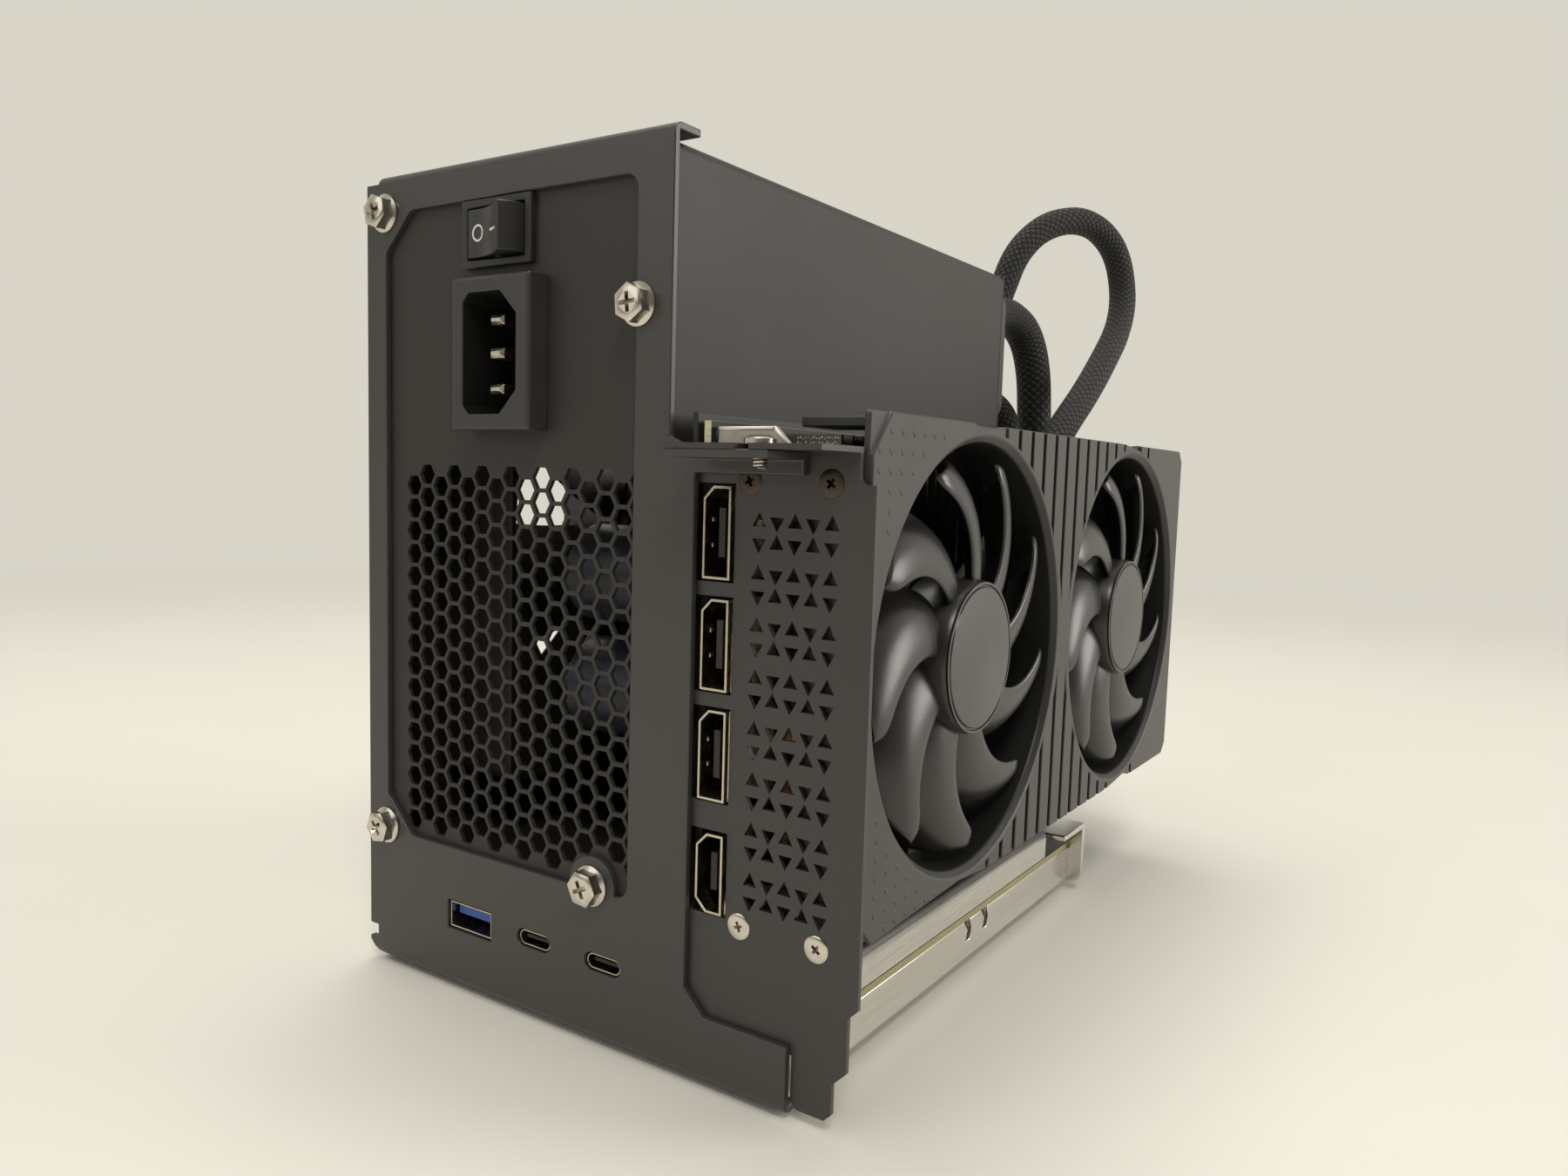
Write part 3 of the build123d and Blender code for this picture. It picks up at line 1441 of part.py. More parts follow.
# Graphics chip, cold plate, finned heat sink and the heat pipes in it
chip_y = (fin_near + fin_far) / 2
with BuildPart() as card_chip:
    with BuildSketch(side_plane(card_face_x)):
        with Locations((chip_y, fan_z)):
            Rectangle(chip_size, chip_size)
    extrude(amount=chip_height)
save(card_chip.part, "card_chip")

with BuildPart() as cold_plate:
    with BuildSketch(side_plane(card_face_x + chip_height)):
        with Locations((chip_y, fan_z)):
            Rectangle(chip_size + 2 * cold_plate_margin, chip_size + 2 * cold_plate_margin)
    extrude(amount=cold_plate_thickness)
save(cold_plate.part, "cold_plate")

pipe_x = slab_back + fin_slab / 2
pipe_spots = [(pipe_x, pipe_first_z + i * pipe_pitch) for i in range(pipe_count)]
with BuildPart() as fin_stack:
    with BuildSketch(side_plane(slab_back)):
        span((fin_near, fin_far), (fin_bottom, fin_top))
        span((fin_far, fin_low_far), (fin_bottom, fin_low_top))
    extrude(amount=fin_slab)
    with BuildSketch(side_plane(slab_front)):
        for i in range(int((fin_low_far - fin_near) / fin_pitch) + 1):
            fin_y = fin_near + i * fin_pitch
            fin_end = fin_top if fin_y + fin_thickness <= fin_far else fin_low_top
            if fin_y + fin_thickness <= fin_low_far:
                span((fin_y, fin_y + fin_thickness), (fin_bottom, fin_end))
    extrude(amount=fin_height)
    with BuildSketch(rear_plane(fin_near)):
        with Locations(*pipe_spots):
            Circle(pipe_radius + pipe_clearance)
    extrude(amount=-(fin_low_far - fin_near), mode=Mode.SUBTRACT)
save(fin_stack.part, "fin_stack")

with BuildPart() as heat_pipes:
    with BuildSketch(rear_plane(fin_near - pipe_overhang)):
        with Locations(*pipe_spots):
            Circle(pipe_radius)
    extrude(amount=-(fin_low_far - fin_near + 2 * pipe_overhang))
    fillet(heat_pipes.edges().filter_by(GeomType.CIRCLE), pipe_radius / 2)
save(heat_pipes.part, "heat_pipes")

# Cooler frame: bright folded tab between the bracket and the heat sink
frame_tab_left = slab_back - frame_tab_setback
with BuildPart() as cooler_frame:
    with BuildSketch(rear_plane(frame_tab_near)) as tab:
        span((frame_tab_left, frame_tab_left + frame_tab_width), (frame_tab_bottom, frame_tab_top))
        chamfer(tab.vertices().group_by(Axis.Y)[-1].sort_by(Axis.X)[-1], frame_tab_cut)
    extrude(amount=-frame_tab_sheet)
    with BuildSketch(rear_plane(frame_tab_near)):
        span((slab_back - frame_tab_sheet, slab_back), (frame_tab_bottom, fin_top))
    extrude(amount=-frame_tab_length)
save(cooler_frame.part, "cooler_frame")

# Shroud: open-backed moulding with two bevelled fan openings, collars and a ribbed face
fan_spots = [(fan_front_y, fan_z), (fan_rear_y, fan_z)]
shroud_inside = shroud_x - shroud_wall


def shroud_outline(inset):
    """Face outline of the shroud with its cut corners, drawn inset from its outside."""
    near = shroud_near + inset
    far = shroud_far - inset
    low = shroud_bottom + inset
    high = shroud_top - inset
    Polygon(
        (near + shroud_low_cut, low),
        (far - shroud_far_cut, low),
        (far, low + shroud_far_cut),
        (far, high - shroud_far_cut),
        (far - shroud_far_cut, high),
        (near + shroud_top_cut, high),
        (near, high - shroud_top_cut),
        (near, low + shroud_low_cut),
        align=None,
    )


with BuildPart() as shroud:
    with BuildSketch(side_plane(shroud_x)):
        shroud_outline(0)
    extrude(amount=-shroud_depth)
    with BuildSketch(side_plane(shroud_inside)):
        shroud_outline(shroud_wall)
    extrude(amount=-(shroud_depth - shroud_wall), mode=Mode.SUBTRACT)
    with BuildSketch(side_plane(shroud_back)):
        vent_near = shroud_near + shroud_vent_margin
        vent_far = shroud_far - shroud_vent_margin
        span((vent_near, vent_far), (shroud_bottom, shroud_bottom + shroud_wall))
        span((vent_near, vent_far), (shroud_top - shroud_wall, shroud_top))
        span(
            (shroud_near, shroud_near + shroud_wall),
            (shroud_end_window_low, shroud_end_window_high),
        )
    extrude(amount=shroud_vent_depth, mode=Mode.SUBTRACT)
    with BuildSketch(side_plane(shroud_back)):
        span((shroud_near, shroud_near + shroud_mouth_depth), (shroud_mouth_low, shroud_top))
    extrude(amount=shroud_depth - shroud_wall, mode=Mode.SUBTRACT)
    with BuildSketch(side_plane(shroud_x)):
        Polygon(
            (shroud_near, shroud_top - shroud_nick_drop),
            (shroud_near + shroud_nick_run, shroud_top),
            (shroud_near, shroud_top),
            align=None,
        )
    extrude(amount=-shroud_nick_depth, mode=Mode.SUBTRACT)
    with BuildSketch(side_plane(backplate_front)):
        span(
            (shroud_far - shroud_wall, shroud_far),
            (shroud_bottom + shroud_low_cut, shroud_top - shroud_low_cut),
        )
    extrude(amount=shroud_back - backplate_front)
    with BuildSketch(side_plane(shroud_inside)):
        with Locations(*fan_spots):
            Circle(fan_bore + fan_collar)
    extrude(amount=-fan_collar_depth)
    with BuildSketch(side_plane(shroud_x)):
        with Locations(*fan_spots):
            Circle(fan_bore)
    extrude(amount=-(shroud_wall + fan_collar_depth), mode=Mode.SUBTRACT)
    face_rims = shroud.edges().filter_by(GeomType.CIRCLE).group_by(Axis.X)[-1]
    chamfer(face_rims, fan_bevel)
    with BuildSketch(side_plane(shroud_x)):
        for i in range(groove_count):
            groove_y = groove_first_y + i * groove_pitch
            span((groove_y, groove_y + groove_width), (shroud_bottom, shroud_top))
        with Locations(*fan_spots):
            Circle(fan_bore + fan_bevel + groove_ring_gap, mode=Mode.SUBTRACT)
    extrude(amount=-groove_depth, mode=Mode.SUBTRACT)
    with BuildSketch(rear_plane(shroud_near)):
        with Locations((bracket_screw_left, bracket_screw_high), (bracket_screw_right, bracket_screw_high)):
            Circle(bracket_screw_radius + screw_clearance)
    extrude(amount=-shroud_wall, mode=Mode.SUBTRACT)
save(shroud.part, "shroud")

# Card fans: carrier with arms, motor and bearing, and a bladed rotor, one pair at each opening
hub_back = carrier_front + hub_lift
hub_front = shroud_x + hub_proud
card_blade_mid = (hub_back + shroud_x) / 2
for name, fan_y in (("front", fan_front_y), ("rear", fan_rear_y)):
    with BuildPart() as fan_carrier:
        with BuildSketch(side_plane(carrier_back)):
            with Locations((fan_y, fan_z)):
                Circle(carrier_radius)
                arm = fan_bore + fan_collar
                with PolarLocations(arm / 2, carrier_arms, start_angle=30):
                    Rectangle(arm, carrier_arm_width)
                Circle(arm, mode=Mode.INTERSECT)
        extrude(amount=carrier_plate)
        with BuildSketch(side_plane(carrier_front)):
            with Locations((fan_y, fan_z)):
                Circle(stator_radius)
        extrude(amount=stator_height)
        with BuildSketch(side_plane(carrier_front)):
            with Locations((fan_y, fan_z)):
                Circle(bearing_radius)
        extrude(amount=bearing_height)
        with BuildSketch(side_plane(carrier_front)):
            with Locations((fan_y, fan_z)):
                Circle(shaft_radius + shaft_clearance)
        extrude(amount=bearing_height, mode=Mode.SUBTRACT)
    save(fan_carrier.part, f"fan_carrier_{name}")

    card_spin_axis = Axis(shift + Vector(0, fan_y, fan_z), (1, 0, 0))
    card_blade = swept_blade(
        blade_stations(
            (card_blade_mid, fan_y, fan_z),
            hub_radius - blade_thickness,
            fan_bore,
            card_blade_pitch,
            card_blade_chord,
            card_blade_sweep,
        )
    )
    with BuildPart() as fan_rotor:
        for i in range(card_fan_blades):
            add(card_blade.rotate(card_spin_axis, card_fan_turn + i * 360 / card_fan_blades))
        with BuildSketch(side_plane(carrier_front)):
            with Locations((fan_y, fan_z)):
                Circle(fan_bore - fan_tip_gap)
        extrude(amount=shroud_x - carrier_front, mode=Mode.INTERSECT)
        with BuildSketch(side_plane(hub_back)):
            with Locations((fan_y, fan_z)):
                Circle(hub_radius)
        extrude(amount=hub_front - hub_back)
        fillet(fan_rotor.edges().filter_by(GeomType.CIRCLE).sort_by(Axis.X)[-1], hub_round)
        with BuildSketch(side_plane(hub_back)):
            with Locations((fan_y, fan_z)):
                Circle(hub_radius - hub_wall)
        extrude(amount=hub_front - hub_back - hub_wall, mode=Mode.SUBTRACT)
        with BuildSketch(side_plane(hub_front - hub_wall)):
            with Locations((fan_y, fan_z)):
                Circle(shaft_radius)
        extrude(amount=-(hub_front - hub_wall - carrier_front - shaft_end_gap))
    save(fan_rotor.part, f"fan_rotor_{name}")

# Card power socket and the plug in it
power_socket_top = power_socket_bottom + power_socket_height
power_socket_far = power_socket_y + power_socket_width
power_socket_front = card_face_x + power_socket_depth
power_cell = header_wall + plug_clearance
card_plug_x = (card_face_x + power_socket_front) / 2
card_plug_y = (power_socket_y + power_socket_far) / 2
card_plug_top = power_socket_top + card_plug_reach
with BuildPart() as card_power_socket:
    with BuildSketch(level_plane(power_socket_bottom)):
        span((card_face_x, power_socket_front), (power_socket_y, power_socket_far))
    extrude(amount=power_socket_height)
    with BuildSketch(level_plane(power_socket_top)):
        span(
            (card_face_x + header_wall, power_socket_front - header_wall),
            (power_socket_y + header_wall, power_socket_far - header_wall),
        )
    extrude(amount=-(power_socket_height - header_floor), mode=Mode.SUBTRACT)
save(card_power_socket.part, "card_power_socket")

with BuildPart() as card_plug:
    with BuildSketch(level_plane(power_socket_top - card_plug_insert)):
        span(
            (card_face_x + power_cell, power_socket_front - power_cell),
            (power_socket_y + power_cell, power_socket_far - power_cell),
        )
    extrude(amount=card_plug_insert + card_plug_reach)
    with BuildSketch(level_plane(card_plug_top)):
        with Locations((card_plug_x, card_plug_y)):
            Circle(card_lead_diameter / 2 + boot_wall)
    extrude(amount=boot_length)
save(card_plug.part, "card_plug")

# Plugs in the dock board's power headers
plug_far = header_far + plug_reach
plug_low = header_low + header_wall + plug_clearance
plug_high = header_high - header_wall - plug_clearance
plug_z = (plug_low + plug_high) / 2
for name, (low, high), diameter in (
    ("main_plug", header_spans[0], main_lead_diameter),
    ("aux_plug", header_spans[1], aux_lead_diameter),
):
    with BuildPart() as plug:
        with BuildSketch(rear_plane(header_far - plug_insert)):
            span((low + power_cell, high - power_cell), (plug_low, plug_high))
        extrude(amount=-(plug_insert + plug_reach))
        with BuildSketch(rear_plane(plug_far)):
            with Locations(((low + high) / 2, plug_z)):
                Circle(diameter / 2 + boot_wall)
        extrude(amount=-boot_length)
    save(plug.part, name)


def lead_tube(points, diameter):
    """Tube along straight runs joined by the largest arcs that the runs allow."""
    corners = [shift + Vector(*point) for point in points]
    runs = [end - start for start, end in zip(corners, corners[1:])]
    radii = []
    for first, second in zip(runs, runs[1:]):
        turn = math.radians(first.get_angle(second))
        radii.append(arc_share * min(first.length, second.length) / math.tan(turn / 2))
    with BuildPart() as tube:
        with BuildLine() as route:
            FilletPolyline(*corners, radius=radii)
        with BuildSketch(Plane(origin=route.line @ 0, z_dir=route.line % 0)):
            Circle(diameter / 2)
        sweep()
    length = route.wires()[0].length
    filled = tube.part.volume / (math.pi * diameter**2 / 4 * length)
    print("radii", [round(radius, 1) for radius in radii])
    print("length", round(length, 1), "volume over section times length", round(filled, 4))
    return tube.part


# Leads: from the gland to the card's plug in a tall loop, and to the two plugs of the dock board
gland_face = psu_far + gland_thickness
boot_far = plug_far + boot_length
card_lead = lead_tube(
    [
        (60.5, gland_face, 126),
        (60.5, 170.5, 126),
        (61.5, 182, 129.5),
        (64.5, 191.5, 139),
        (67.5, 196.3, 152.5),
        (70.5, 201, 167),
        (77, 211.5, 177.5),
        (85, 227.5, 181),
        (91.5, 239.5, 173),
        (94.5, 242, 157),
        (97, 230, 143),
        (99, 210, 130.5),
        (100.3, 190, 118),
        (100.4, 172.5, 107.5),
        (card_plug_x, card_plug_y, card_plug_top + boot_length + 13.5),
        (card_plug_x, card_plug_y, card_plug_top + boot_length),
    ],
    card_lead_diameter,
)
save(card_lead, "card_lead")
main_plug_x = sum(header_spans[0]) / 2
main_lead = lead_tube(
    [
        (76, gland_face, 139.5),
        (76, 169, 139.5),
        (79, 179, 138),
        (82.5, 187.5, 131.5),
        (84.5, 192.5, 120),
        (85, 194.5, 104),
        (85, 198, 85),
        (83.5, 203, 63),
        (79.5, 208.5, 42),
        (73.5, 212.5, 23),
        (66, 213.5, 7.5),
        (57, 210.5, -3.5),
        (49.3, 204, -8),
        (main_plug_x, boot_far + 11, plug_z),
        (main_plug_x, boot_far, plug_z),
    ],
    main_lead_diameter,
)
save(main_lead, "main_lead")
aux_plug_x = sum(header_spans[1]) / 2
aux_lead = lead_tube(
    [
        (66, gland_face, 114),
        (66, 168, 114),
        (69, 176.5, 112.5),
        (74, 183.5, 105),
        (77.5, 187.5, 92),
        (79.5, 189, 75),
        (80.5, 191, 56),
        (81.7, 194.5, 38),
        (82.8, 198.5, 22.5),
        (83.6, 202, 11),
        (83.8, 203, 3.1),
        (83.4, 199, -3.8),
        (aux_plug_x, boot_far + 8, plug_z),
        (aux_plug_x, boot_far, plug_z),
    ],
    aux_lead_diameter,
)
save(aux_lead, "aux_lead")
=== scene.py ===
"""External graphics card enclosure: finishes, fine detail, leads, camera and studio round the solids.

Lengths in the dataclasses are millimetres, measured from the lower near corner of the power supply at the
outer face of the rear plate: X across the plate, Y towards the far end of the dock, Z up.
"""
import json
import logging
import math
from abc import ABC, abstractmethod
from collections.abc import Callable, Iterable, Sequence
from dataclasses import dataclass, field
from typing import ClassVar

import bmesh
import bpy
from mathutils import Matrix, Vector


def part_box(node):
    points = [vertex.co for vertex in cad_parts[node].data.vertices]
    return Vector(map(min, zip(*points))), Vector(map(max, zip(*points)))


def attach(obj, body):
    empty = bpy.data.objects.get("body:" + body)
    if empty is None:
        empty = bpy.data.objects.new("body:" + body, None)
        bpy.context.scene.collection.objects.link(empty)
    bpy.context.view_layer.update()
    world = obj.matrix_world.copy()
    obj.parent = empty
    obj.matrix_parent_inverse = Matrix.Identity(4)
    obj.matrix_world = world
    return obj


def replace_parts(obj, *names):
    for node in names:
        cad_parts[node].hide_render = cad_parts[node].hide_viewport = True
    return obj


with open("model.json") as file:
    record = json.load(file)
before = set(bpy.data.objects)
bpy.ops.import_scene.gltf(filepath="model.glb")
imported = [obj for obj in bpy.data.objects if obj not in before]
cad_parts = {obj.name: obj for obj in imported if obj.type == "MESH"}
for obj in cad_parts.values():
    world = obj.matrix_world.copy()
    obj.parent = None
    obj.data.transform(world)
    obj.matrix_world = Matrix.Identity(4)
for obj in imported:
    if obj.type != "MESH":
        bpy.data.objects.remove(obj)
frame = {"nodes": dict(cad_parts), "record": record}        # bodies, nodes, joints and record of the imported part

log = logging.getLogger("enclosure")

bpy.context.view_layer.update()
MM = 0.001
PLATE_SHEET = 1.5
NOISE_LOW, NOISE_HIGH = 0.3, 0.7    # what a noise texture mostly stays between
SOLID_SEAM = 1e-6                   # metres within which a solid's loose corners are one
FLAT_ANGLE = 0.4                    # degrees between triangles of one flat face
EASED_ANGLE = 32.0                  # degrees above which a solid's edge is eased
EASE_STEPS = 2
REARWARD = Vector((0.0, -1.0, 0.0))
FANWARD = Vector((1.0, 0.0, 0.0))
CORNER = Vector((
    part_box("psu_case")[0].x,
    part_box("psu_rear_panel")[0].y - PLATE_SHEET * MM,
    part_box("psu_case")[0].z,
))

Pair = tuple[float, float]
Colour = tuple[float, float, float]
Point = tuple[float, float, float]
Socket = bpy.types.NodeSocket
Inputs = dict[str | int, Socket | float | Sequence[float]]

NODE_BODY: dict[str, str] = {
    node: body for body, nodes in frame["record"]["behaviour"]["bodies"].items() for node in nodes
}


def spot(x: float, y: float, z: float) -> Vector:
    """Place in the scene, in metres, of a point given in millimetres from the power supply's corner."""
    return CORNER + Vector((x, y, z)) * MM


def box_mm(node: str) -> tuple[Vector, Vector]:
    """Lowest and highest corner of a node's box, in millimetres from the power supply's corner."""
    low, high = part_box(node)
    return (low - CORNER) / MM, (high - CORNER) / MM


def placed(point: Vector, turn: Matrix | None = None) -> Matrix:
    """Frame in millimetres at a place.

    Args:
        point: Origin of the frame, in metres.
        turn: Turn of the frame about its origin, where it has one.

    Returns:
        The matrix that carries local millimetres to the scene.
    """
    return Matrix.Translation(point) @ (turn or Matrix.Identity(4)) @ Matrix.Scale(MM, 4)


def facing(point: Vector, outward: Vector, turn: float = 0.0) -> Matrix:
    """Frame in millimetres whose Z axis points outward from a surface.

    Args:
        point: Origin of the frame, in metres.
        outward: Direction of the frame's Z axis.
        turn: Turn about that axis, in degrees.

    Returns:
        The matrix that carries local millimetres to the scene.
    """
    swing = outward.to_track_quat("Z", "Y").to_matrix().to_4x4()
    return placed(point, swing @ Matrix.Rotation(math.radians(turn), 4, "Z"))


def wired(
    tree: bpy.types.NodeTree, kind: str, inputs: Inputs | None = None, **settings: str,
) -> bpy.types.NodeOutputs:
    """Add a shader node to a tree.

    Args:
        tree: The tree.
        kind: Blender's name of the node, without its prefix.
        inputs: What feeds its sockets, each another node's socket or a value.
        settings: Properties of the node.

    Returns:
        The node's outputs.
    """
    node = tree.nodes.new(f"ShaderNode{kind}")
    for name, value in settings.items():
        setattr(node, name, value)
    for socket, source in (inputs or {}).items():
        if isinstance(source, Socket):
            tree.links.new(source, node.inputs[socket])
        else:
            node.inputs[socket].default_value = source
    return node.outputs


def new_object(data: bpy.types.ID) -> bpy.types.Object:
    """Object in the scene for a mesh, a curve, a camera or a lamp, under its name."""
    made = bpy.data.objects.new(data.name, data)
    bpy.context.scene.collection.objects.link(made)
    return made


class ShaderBoard:
    """Material under construction: its shader, and the textures that feed it."""

    def __init__(self, name: str) -> None:
        """Start a material of that name with one principled shader."""
        self.material = bpy.data.materials.new(name)
        self.material.use_nodes = True
        self.tree = self.material.node_tree
        self.shader = self.tree.nodes["Principled BSDF"]
        self.coords = self.add("TexCoord")

    def add(self, kind: str, inputs: Inputs | None = None, **settings: str) -> bpy.types.NodeOutputs:
        """Add a node to the material, as wired() does to any tree."""
        return wired(self.tree, kind, inputs, **settings)

    def parts(self, coords: str) -> bpy.types.NodeOutputs:
        """X, Y and Z of one of the piece's coordinates."""
        return self.add("SeparateXYZ", {0: self.coords[coords]})

    def set(self, **sockets: float | tuple) -> None:
        """Set sockets that are the same all over, with underscores for the spaces in their names."""
        for name, value in sockets.items():
            self.shader.inputs[name.replace("_", " ")].default_value = value

    def link(self, source: Socket, socket: str) -> None:
        """Feed one of the shader's sockets."""
        self.tree.links.new(source, self.shader.inputs[socket])

    def math(self, operation: str, *values: Socket | float) -> Socket:
        """Add a math node.

        Args:
            operation: Blender's name of the operation.
            values: Its inputs, each a socket or a number.

        Returns:
            The result's socket.
        """
        return self.add("Math", dict(enumerate(values)), operation=operation)[0]

    def noise(self, feature: float, stretch: Point = (1.0, 1.0, 1.0), detail: float = 3.0) -> Socket:
        """Noise fixed to the piece.

        Args:
            feature: Size of the noise's features, in millimetres.
            stretch: How many times longer the features are along each axis.
            detail: Octaves of finer noise.

        Returns:
            The noise value's socket.
        """
        scale = [1.0 / (feature * MM * length) for length in stretch]
        place = self.add("Mapping", {"Vector": self.coords["Object"], "Scale": scale})[0]
        return self.add("TexNoise", {"Vector": place, "Scale": 1.0, "Detail": detail})["Fac"]

    def spread(self, value: Socket, low: float, high: float) -> Socket:
        """Map what a noise mostly stays between to the range from low to high."""
        span = {"From Min": NOISE_LOW, "From Max": NOISE_HIGH, "To Min": low, "To Max": high}
        return self.add("MapRange", {"Value": value, **span})[0]

    def tint(self, value: Socket, low: Colour, high: Colour) -> Socket:
        """Blend two colours by a value, from the low one at 0 to the high one at 1."""
        ramp = self.tree.nodes.new("ShaderNodeValToRGB")
        ramp.color_ramp.elements[0].color = (*low, 1.0)
        ramp.color_ramp.elements[1].color = (*high, 1.0)
        self.tree.links.new(value, ramp.inputs["Fac"])
        return ramp.outputs["Color"]

    def mix(self, factor: Socket | float, first: Socket, second: Socket, blend: str = "MIX") -> Socket:
        """Mix a share of the second colour into the first, in the way that Blender's name says."""
        inputs = {"Factor": factor, "A": first, "B": second}
        return self.add("Mix", inputs, data_type="RGBA", blend_type=blend)["Result"]

    def relief(self, height: Socket, depth: float, strength: float) -> None:
        """Raise the surface by a height map.

        Args:
            height: The map.
            depth: Height of the relief, in millimetres.
            strength: Share of the relief that shows.
        """
        bump = self.add("Bump", {"Height": height, "Distance": depth * MM, "Strength": strength})
        self.link(bump["Normal"], "Normal")


@dataclass(frozen=True)
class Finish(ABC):
    """Surface finish that makes its own material once.

    Its name isn't a material slot's, because the solids bring plain materials under those names.
    """

    swing: ClassVar[Pair] = (0.9, 1.1)
    haze: ClassVar[Pair] = (0.0, 0.1)

    name: str
    colour: Colour
    roughness: float = 0.5

    def shade(self, factor: float) -> Colour:
        """The finish's colour, lighter or darker by a factor."""
        return tuple(min(1.0, channel * factor) for channel in self.colour)

    def material(self) -> bpy.types.Material:
        """The finish's material, made when it is first asked for."""
        made = bpy.data.materials.get(self.name)
        if made is None:
            board = ShaderBoard(self.name)
            self.wire(board)
            made = board.material
        return made

    def mottle(self, board: ShaderBoard, value: Socket) -> None:
        """Let a noise vary the colour between the finish's darkest and lightest shade."""
        dark, light = (self.shade(factor) for factor in self.swing)
        board.link(board.tint(board.spread(value, 0.0, 1.0), dark, light), "Base Color")

    def roughen(self, board: ShaderBoard, value: Socket) -> None:
        """Let a value vary the roughness by the finish's haze."""
        low, high = (self.roughness + change for change in self.haze)
        board.link(board.spread(value, low, high), "Roughness")

    @abstractmethod
    def wire(self, board: ShaderBoard) -> None:
        """Wire the finish's shader.

        Args:
            board: Material under construction.
        """


@dataclass(frozen=True)
class PowderCoat(Finish):
    """Baked powder paint: fine pebbled skin with a little cloudiness."""

    swing = (0.88, 1.12)
    haze = (-0.03, 0.03)
    pebble_share: ClassVar[float] = 0.7
    shown: ClassVar[float] = 0.45

    pebble: float = 0.45
    cloud: float = 35.0
    depth: float = 0.03
    gloss: float = 0.45

    def wire(self, board: ShaderBoard) -> None:
        """Wire the pebbled skin."""
        pebbles = board.noise(self.pebble, detail=2.0)
        clouds = board.noise(self.cloud)
        cloudiness = board.math("MULTIPLY", clouds, 1.0 - self.pebble_share)
        self.mottle(board, board.math("MULTIPLY_ADD", pebbles, self.pebble_share, cloudiness))
        self.roughen(board, clouds)
        board.relief(pebbles, self.depth, self.shown)
        board.set(Specular_IOR_Level=self.gloss)


@dataclass(frozen=True)
class MouldedPlastic(Finish):
    """Moulded plastic with the fine spark grain of its tool."""

    haze = (-0.06, 0.06)
    flow: ClassVar[float] = 18.0
    shown: ClassVar[float] = 0.35

    grain: float = 0.22
    depth: float = 0.015
    gloss: float = 0.5

    def wire(self, board: ShaderBoard) -> None:
        """Wire the spark grain."""
        grain = board.noise(self.grain, detail=2.0)
        self.mottle(board, board.noise(self.flow))
        self.roughen(board, grain)
        board.relief(grain, self.depth, self.shown)
        board.set(Specular_IOR_Level=self.gloss)


@dataclass(frozen=True)
class BrushedMetal(Finish):
    """Bare metal brushed along Y, as rolled and linished sheet is."""

    swing = (0.86, 1.08)
    line_haze: ClassVar[float] = 0.06
    cloud: ClassVar[float] = 25.0
    cloud_haze: ClassVar[float] = 0.04

    line: float = 0.16
    run: float = 220.0
    depth: float = 0.01
    cut: float = 0.3

    def wire(self, board: ShaderBoard) -> None:
        """Wire the brush lines."""
        lines = board.noise(self.line, (1.0, self.run, 1.0), detail=2.0)
        self.mottle(board, lines)
        streaks = board.spread(lines, -self.line_haze, self.line_haze)
        clouds = board.spread(board.noise(self.cloud), -self.cloud_haze, self.cloud_haze)
        rough = board.math("ADD", streaks, clouds)
        board.link(board.math("ADD", rough, self.roughness), "Roughness")
        board.relief(lines, self.depth, self.cut)
        board.set(Metallic=1.0)


@dataclass(frozen=True)
class TopShadedMetal(BrushedMetal):
    """Brushed metal with painted shade: darker on its upward faces, standing for the dark reflection of what
    overhangs it.
    """

    top_shade_share: float = 0.12
    top_shade_slope: float = 0.4

    def wire(self, board: ShaderBoard) -> None:
        """Wire the brush lines and paint the shade on the upward faces."""
        super().wire(board)
        brushed = board.shader.inputs["Base Color"].links[0].from_socket
        # painted shade: the colour darkens as the face turns upwards
        span = {"From Max": self.top_shade_slope, "To Min": 1.0, "To Max": self.top_shade_share}
        top_shade = board.add("MapRange", {"Value": board.parts("Normal")["Z"], **span})[0]
        board.link(board.mix(1.0, brushed, top_shade, "MULTIPLY"), "Base Color")


@dataclass(frozen=True)
class PlatedMetal(Finish):
    """Plated or formed metal with faint handling haze."""

    swing = (0.88, 1.06)
    haze = (-0.06, 0.08)
    smear: ClassVar[float] = 2.4
    grain: ClassVar[float] = 0.2
    depth: ClassVar[float] = 0.004
    shown: ClassVar[float] = 0.25

    def wire(self, board: ShaderBoard) -> None:
        """Wire the haze."""
        smears = board.noise(self.smear)
        self.mottle(board, smears)
        self.roughen(board, smears)
        board.relief(board.noise(self.grain, detail=2.0), self.depth, self.shown)
        board.set(Metallic=1.0)


